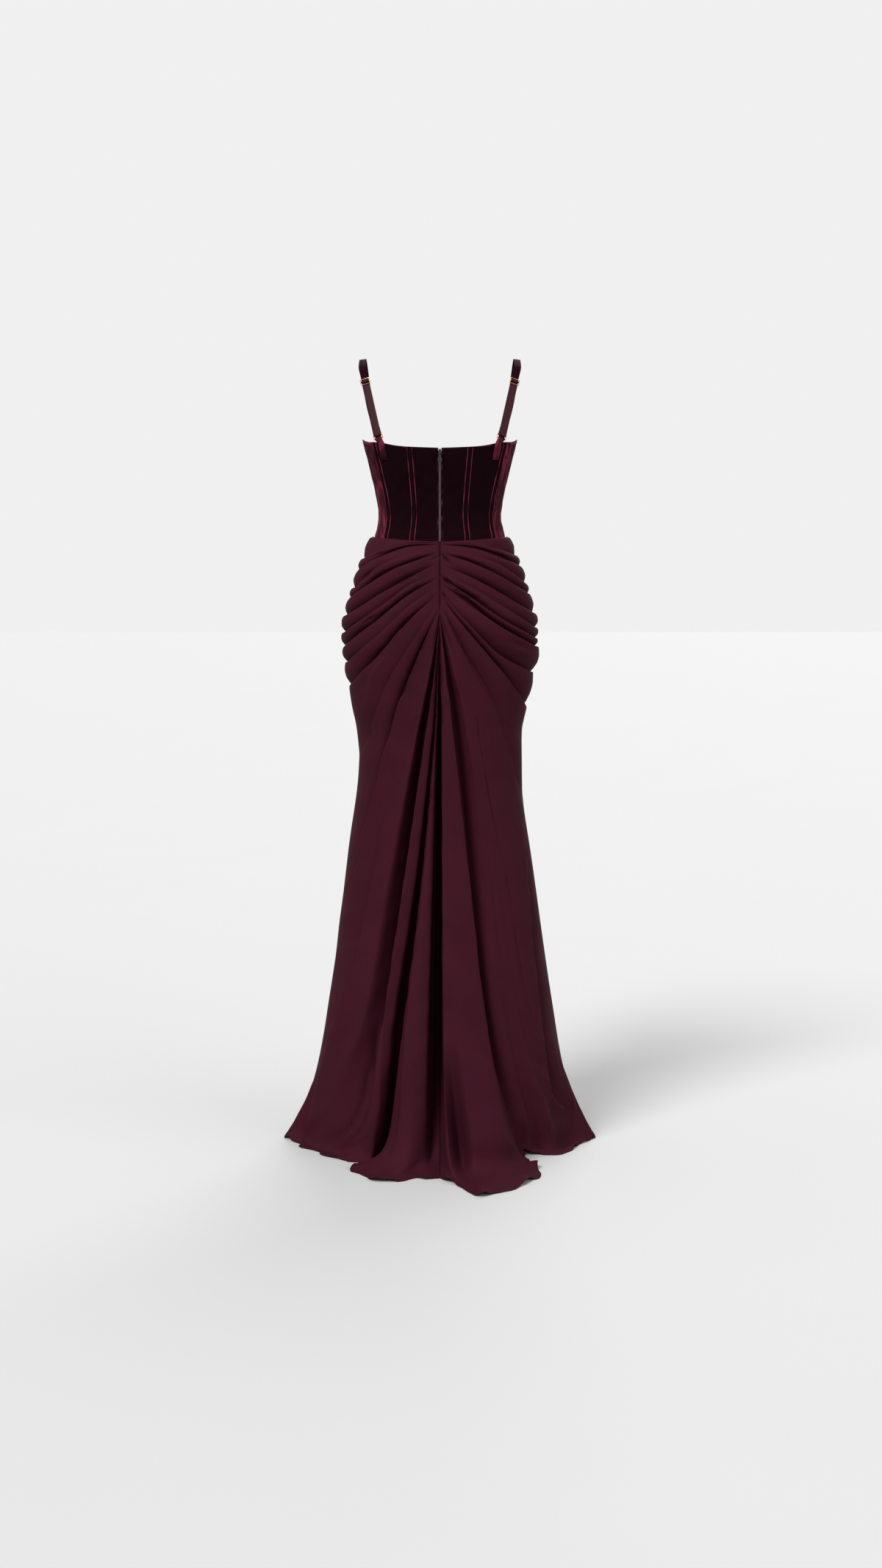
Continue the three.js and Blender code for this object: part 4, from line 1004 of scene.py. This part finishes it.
# A boning channel: a strip of velvet stitched down along both edges, full in the middle.
def channelPoints(hand, seam, settings):
    share = np.linspace(0.0, settings["endShare"], settings["rows"] + 1)[:, None]
    across, stand = np.array(settings["profile"]).T[:, None, :]
    low = waistSeam(45) - bodiceSettings["lap"]
    height = lerp(low, topEdge(float(seamLines[seam][0])), share)
    middle = seamAngle(seam, height)
    angle = middle + across * settings["width"] / 2 / degreeWidth(middle, height)
    out = stand * settings["stand"] - bodiceSettings["inset"] + settings["gap"]
    points = bodicePoint(hand * angle, height + 0 * across, out)
    # partly pressed pile, partly a painted highlight along both stitched edges
    stitchPressAndHighlight = np.exp(-((np.abs(across) - settings["stitchAt"]) / settings["stitchHalf"]) ** 2)
    patchy = 0.95 + 0.3 * ripples(height, 0 * across, len(seam) + hand, 40, 100)
    return points, stitchPressAndHighlight * patchy


for seam in ("inner", "outer"):
    for hand, side in bothSides:
        points, pressAndSheen = channelPoints(hand, seam, channelSettings)
        name = f"boning_channel_{seam}_{side}"
        piece = addPiece(name + "_cloth", gridMesh(name, points, hand > 0), velvet, [name])
        setPressAndSheen(piece, pressAndSheen)
print("channels made")


# A flat tape swept along stations, with softly rounded edges.
def tapeGrid(points, acrosses, width, thickness, squared=True):
    points = np.array(points, float)
    tangents = unit(np.gradient(points, axis=0))
    acrosses = np.array(acrosses, float)
    if squared:
        acrosses = acrosses - (acrosses * tangents).sum(1, keepdims=True) * tangents
    acrosses = unit(acrosses)
    outs = unit(np.cross(tangents, acrosses))
    half, thick = width / 2, thickness / 2
    side = [(-half, -0.4), (-half + 0.5, -1), (-half / 2, -1), (0, -1), (half / 2, -1), (half - 0.5, -1),
            (half, -0.4)]
    outline = side + [(-a, -b) for a, b in side]
    return np.stack([points + a * acrosses + b * thick * outs for a, b in outline], axis=1)


# The curve through the points, read at even distances.
def resample(points, count):
    keys = throughCurve(points)(np.linspace(0, 1, 12 * len(points)))
    lengths = spread(keys[:, None], 0)[:, 0]
    at = np.linspace(0, lengths[-1], count)
    return np.stack([np.interp(at, lengths, keys[:, k]) for k in range(3)], -1)


strapSettings = {
    "tapeWidth": 15.5,
    "satin": 1.2,
    "velvet": 1.8,
    "velvetNarrower": 1.5,
    "velvetStations": 70,
    "tab": 1.4,
    "tabNarrower": 1,
    "ringHeight": 9,
    "ringWire": 1.6,
    "sliderBar": 5,
    "sliderWire": 1.4,
    "tabAcross": 112.5,
    "tabFoot": 0.83,
    "tabBar": 1383,
    "frontAngle": 128,
    "gap": 0.3,
    "pressAndSheen": 0.15,  # how far the straps' velvet is pressed flat, and the tabs'
    "tabPress": 0.4,
}
# (across, behind, height) of the places that a strap runs through
strapPlaces = {
    "ring": (117.5, -74, 1387),
    "slider": (141.5, -46, 1492),
    "shoulder": (148.5, -2, 1536),
    "overTop": (147.5, 17, 1531),
    "front": (137.5, 50, 1458),
}


# The direction across a strap's end, level along the bodice and pointing the same way as the ring's.
def levelAcross(hand, angle, height, like):
    way = unit(bodicePoint(hand * (angle - 1), height) - bodicePoint(hand * (angle + 1), height))
    return way * np.sign(way.dot(like))


def makeStrap(hand, side, settings, places):
    spot = {key: np.array([hand * x, y, h - shoulderHeight], float) for key, (x, y, h) in places.items()}
    centre = spot["ring"]
    length = np.linalg.norm(spot["slider"] - centre)
    up = (spot["slider"] - centre) / length
    facing = np.array([hand * 0.3, -1.0, 0.0])
    out = unit(facing - facing.dot(up) * up)
    across = np.cross(up, out)

    def place(along, away):
        return centre + up * along + out * away

    def roundBar(along, away, radius, start, end, steps):
        turns = np.radians(np.linspace(start, end, steps + 1))
        return [place(along + radius * math.sin(a), away + radius * math.cos(a)) for a in turns]

    # the satin starts behind its ring, turns round it, and runs up to the slider and round its middle bar
    gap, satinWall, velvetWall = settings["gap"], settings["satin"], settings["velvet"]
    barAt = (settings["ringHeight"] - settings["ringWire"]) / 2
    clearance = math.sqrt(2) * settings["ringWire"] / 2 + gap
    satinRound = clearance + satinWall / 2
    sliderAway = 2 * satinRound
    folded = satinRound - satinWall - gap
    path = [place(barAt + 14, folded), place(barAt + 8, folded), place(barAt + 4, -satinRound * 0.4),
            *roundBar(barAt, 0, satinRound, -160, 0, 14)]
    path += [place(length * k, satinRound) for k in (0.15, 0.3, 0.5, 0.7, 0.85)]
    path += [place(length - 5, satinRound), *roundBar(length, sliderAway, satinRound, 180, -50, 18)]
    rings = tapeGrid(path, [across] * len(path), settings["tapeWidth"], satinWall)
    closedTube(f"strap_back_{side}_cloth", rings, satin, [f"strap_back_{side}"])

    # the velvet goes from the slider over the shoulder, and is sewn inside the front's top edge
    velvetAway = sliderAway - settings["sliderWire"] / 2 - gap - velvetWall / 2 - 0.1
    frontEdge = float(topEdge(settings["frontAngle"]))
    inside = bodiceSettings["wall"] + gap + velvetWall / 2 + 1.8
    sewn = [bodicePoint(hand * settings["frontAngle"], frontEdge + k, -inside) for k in (8, 0, -10)]
    path = [place(length + satinRound + satinWall, velvetAway), place(length + 14, velvetAway),
            place(length + 30, velvetAway - 0.5), spot["shoulder"], spot["overTop"], spot["front"], *sewn]
    path = resample(path, settings["velvetStations"])
    frontAcross = levelAcross(hand, settings["frontAngle"], frontEdge, across)
    sideways = np.array([1.0, 0, 0]) * np.sign(across[0])
    share = np.linspace(0, 2, len(path))[:, None]
    acrosses = np.where(share < 1, lerp(across, sideways, share), lerp(sideways, frontAcross, share - 1))
    rings = tapeGrid(path, acrosses, settings["tapeWidth"] - settings["velvetNarrower"], velvetWall)
    strap = closedTube(f"strap_front_{side}_cloth", rings, velvet, [f"strap_front_{side}"])
    setPressAndSheen(strap, settings["pressAndSheen"])

    # the tab is sewn on the bodice and turns round the ring's lower bar
    bar = settings["tabBar"]
    aside = float(angleAt(bodiceForm, settings["tabAcross"], bar))
    tabAcross = levelAcross(hand, aside, bar, across)
    tabRound = clearance + settings["tab"] / 2
    low, high = float(waistSeam(aside)) - bodiceSettings["lap"], float(topEdge(aside))
    stand = 2 * gap + settings["tab"] / 2
    shares = (settings["tabFoot"], 0.88, 0.94, 1)
    onBodice = [bodicePoint(hand * aside, lerp(low, high, k), stand) for k in shares]
    path = [*onBodice, *roundBar(-barAt, 0, tabRound, -10, 100, 8)]
    turn = np.clip(np.arange(len(path)) - 3, 0, 1)[:, None]
    width = settings["tapeWidth"] - settings["tabNarrower"]
    rings = tapeGrid(path, lerp(tabAcross, across, turn), width, settings["tab"], False)
    tab = closedTube(f"strap_tab_{side}_cloth", rings, velvet, [f"strap_tab_{side}"])
    setPressAndSheen(tab, settings["tabPress"])

    basis = Matrix((tuple(across), tuple(up), tuple(out))).transposed().to_4x4()
    width = settings["tapeWidth"] + 2 * (settings["ringWire"] + gap)
    sliderHeight = 2 * settings["sliderBar"] + settings["sliderWire"]
    loops = [
        ("ring", place(0, 0), settings["ringHeight"], settings["ringWire"], 1, gold, "gold"),
        ("slider", place(length, sliderAway), sliderHeight, settings["sliderWire"], 2, roseGold, "rose_gold"),
    ]
    for kind, middle, height, wire, windows, material, slotName in loops:
        metalLoop(f"strap_{kind}_{side}", basis, middle, width, height, wire, windows, material)


# Selects in edit mode the faces that meet the rule.
def chooseFaces(piece, rule):
    bpy.ops.object.mode_set(mode="OBJECT")
    for polygon in piece.data.polygons:
        polygon.select = rule(polygon)
    bpy.ops.object.mode_set(mode="EDIT")


# A flat metal loop with one or two windows: a block with its windows inset and bridged through, rounded.
def metalLoop(name, basis, centre, width, height, wire, windows, material):
    size = (width * millimetre, height * millimetre, wire * millimetre)
    bpy.ops.object.select_all(action="DESELECT")
    bpy.ops.mesh.primitive_cube_add(size=1, scale=size)
    bpy.ops.object.transform_apply(location=False, rotation=False, scale=True)
    loop = bpy.context.active_object
    loop.name = name + "_metal"
    bpy.ops.object.mode_set(mode="EDIT")
    bpy.ops.mesh.select_mode(type="FACE")
    if windows == 2:
        bpy.ops.mesh.select_all(action="SELECT")
        bpy.ops.mesh.bisect(plane_co=(0, 0, 0), plane_no=(0, 1, 0))
    chooseFaces(loop, lambda face: abs(face.normal.z) > 0.9)
    bpy.ops.mesh.inset(thickness=wire * 0.8 * millimetre, use_individual=True)
    inside = size[0] / 2 - wire * 0.6 * millimetre
    for side in ((1, -1) if windows == 2 else (0,)):
        chooseFaces(loop, lambda face: abs(face.normal.z) > 0.9 and face.center.y * side >= 0 and all(
            abs(loop.data.vertices[v].co.x) < inside for v in face.vertices))
        bpy.ops.mesh.bridge_edge_loops()
    bpy.ops.mesh.select_all(action="SELECT")
    bpy.ops.mesh.normals_make_consistent(inside=False)
    bpy.ops.object.mode_set(mode="OBJECT")
    matrix = basis.copy()
    matrix.translation = Vector(centre * millimetre)
    loop.data.transform(matrix)
    applyModifier(loop, "BEVEL", width=wire * 0.32 * millimetre, segments=3, limit_method="ANGLE")
    finishPiece(loop, material, [name])


for hand, side in bothSides:
    makeStrap(hand, side, strapSettings, strapPlaces)
print("straps made")

zipSettings = {
    "tapeHalf": 2.2,
    "tapeRows": 60,
    "tapeWall": 0.8,
    "sink": 0.5,
    "top": 1363,
    "bottom": 1183,
    "toothPitch": 1.5,
    "linkSize": (1.5, 0.55, 0.62),  # half its width, depth and height
    "linkAside": 0.55,
    "linkOut": 0.1,
}


def makeZip(settings):
    heights = np.linspace(settings["bottom"], settings["top"], settings["tapeRows"])
    across = np.array([-1, -0.75, -0.45, 0, 0.45, 0.75, 1]) * settings["tapeHalf"]
    stand = np.array([-0.9, -0.4, 0.15, 0.3, 0.15, -0.4, -0.9])
    points = np.stack([bodicePoint(0 * across, h + 0 * across, stand - settings["sink"]) for h in heights])
    points[..., 0] = across[None, :]
    tape = addPiece("zip_tape_cloth", gridMesh("zip_tape", points), zipWeave, ["zip_tape"])
    thicken(tape, settings["tapeWall"])

    # the coil: one rounded link, copied for each half turn, left and right by turns
    bpy.ops.object.select_all(action="DESELECT")
    bpy.ops.mesh.primitive_ico_sphere_add(subdivisions=1, radius=1, calc_uvs=False)
    link = bpy.context.active_object
    link.data.transform(Matrix.Diagonal((*settings["linkSize"], 1)))
    count = int((settings["top"] - settings["bottom"]) / settings["toothPitch"])
    copies = []
    for k in range(count):
        middle = bodicePoint(0, settings["bottom"] + (k + 0.5) * settings["toothPitch"], settings["linkOut"])
        aside = settings["linkAside"] if k % 2 else -settings["linkAside"]
        copy = bpy.data.objects.new("zip_link", link.data.copy())
        copy.data.transform(Matrix.Scale(millimetre, 4) @ Matrix.Translation((aside, middle[1], middle[2])))
        bpy.context.scene.collection.objects.link(copy)
        copies.append(copy)
    bpy.data.objects.remove(link)
    for copy in copies:
        copy.select_set(True)
    bpy.context.view_layer.objects.active = copies[0]
    bpy.ops.object.join()
    copies[0].name = "zip_coil"
    finishPiece(copies[0], coilNylon)


makeZip(zipSettings)
for name in ("zip_slider", "zip_pull"):
    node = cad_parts[name]
    node.data.materials.clear()
    node.data.materials.append(zipMetal)
print("zip made")


stageSettings = {
    "size": 60,
    "below": 0.5,  # under the hem
    "floorColour": "9a9a9a",
    "cloudsPerMetre": 2,
    "roughness": 0.9,
    "worldColour": "f0f0f0",
}


# Matte paint: an even white studio floor that only shows the soft shadow.
def makeStage(settings):
    bpy.ops.object.select_all(action="DESELECT")
    floorHeight = -(shoulderHeight + settings["below"]) * millimetre
    bpy.ops.mesh.primitive_plane_add(size=settings["size"], location=(0, 0, floorHeight))
    floor = bpy.context.active_object
    floor.name = "floor"
    material, tree, shader, coordinates = newMaterial("painted studio floor")
    clouds = addNode(tree, "ShaderNodeTexNoise", {"Vector": coordinates, "Scale": settings["cloudsPerMetre"]})
    paint = linear(settings["floorColour"])
    colour = addNode(tree, "ShaderNodeMix", {
        0: clouds.outputs["Fac"], 6: paint, 7: darker(paint, 0.98)}, data_type="RGBA")
    fillInputs(tree, shader, {"Base Color": colour.outputs[2], "Roughness": settings["roughness"]})
    floor.data.materials.append(material)
    world = bpy.data.worlds.new("studio")
    world.use_nodes = True
    tree = world.node_tree
    fillInputs(tree, tree.nodes["Background"], {"Color": linear(settings["worldColour"]), "Strength": 1.0})
    bpy.context.scene.world = world


lightSettings = [
    # name, where it shines from, strength, softness in degrees
    ("key", (-0.7, -1.0, 1.25), 4.6, 22),
    ("fill", (1.0, -0.7, 0.5), 1.4, 50),
    ("front", (0.3, 1.0, 0.8), 2.0, 40),
]


def makeLights(settings):
    for name, place, strength, softness in settings:
        data = bpy.data.lights.new(name, "SUN")
        data.energy = strength
        data.angle = math.radians(softness)
        light = bpy.data.objects.new(name, data)
        bpy.context.scene.collection.objects.link(light)
        light.rotation_euler = Vector(place).to_track_quat("Z", "Y").to_euler()


makeStage(stageSettings)
makeLights(lightSettings)
print("stage and lights made")
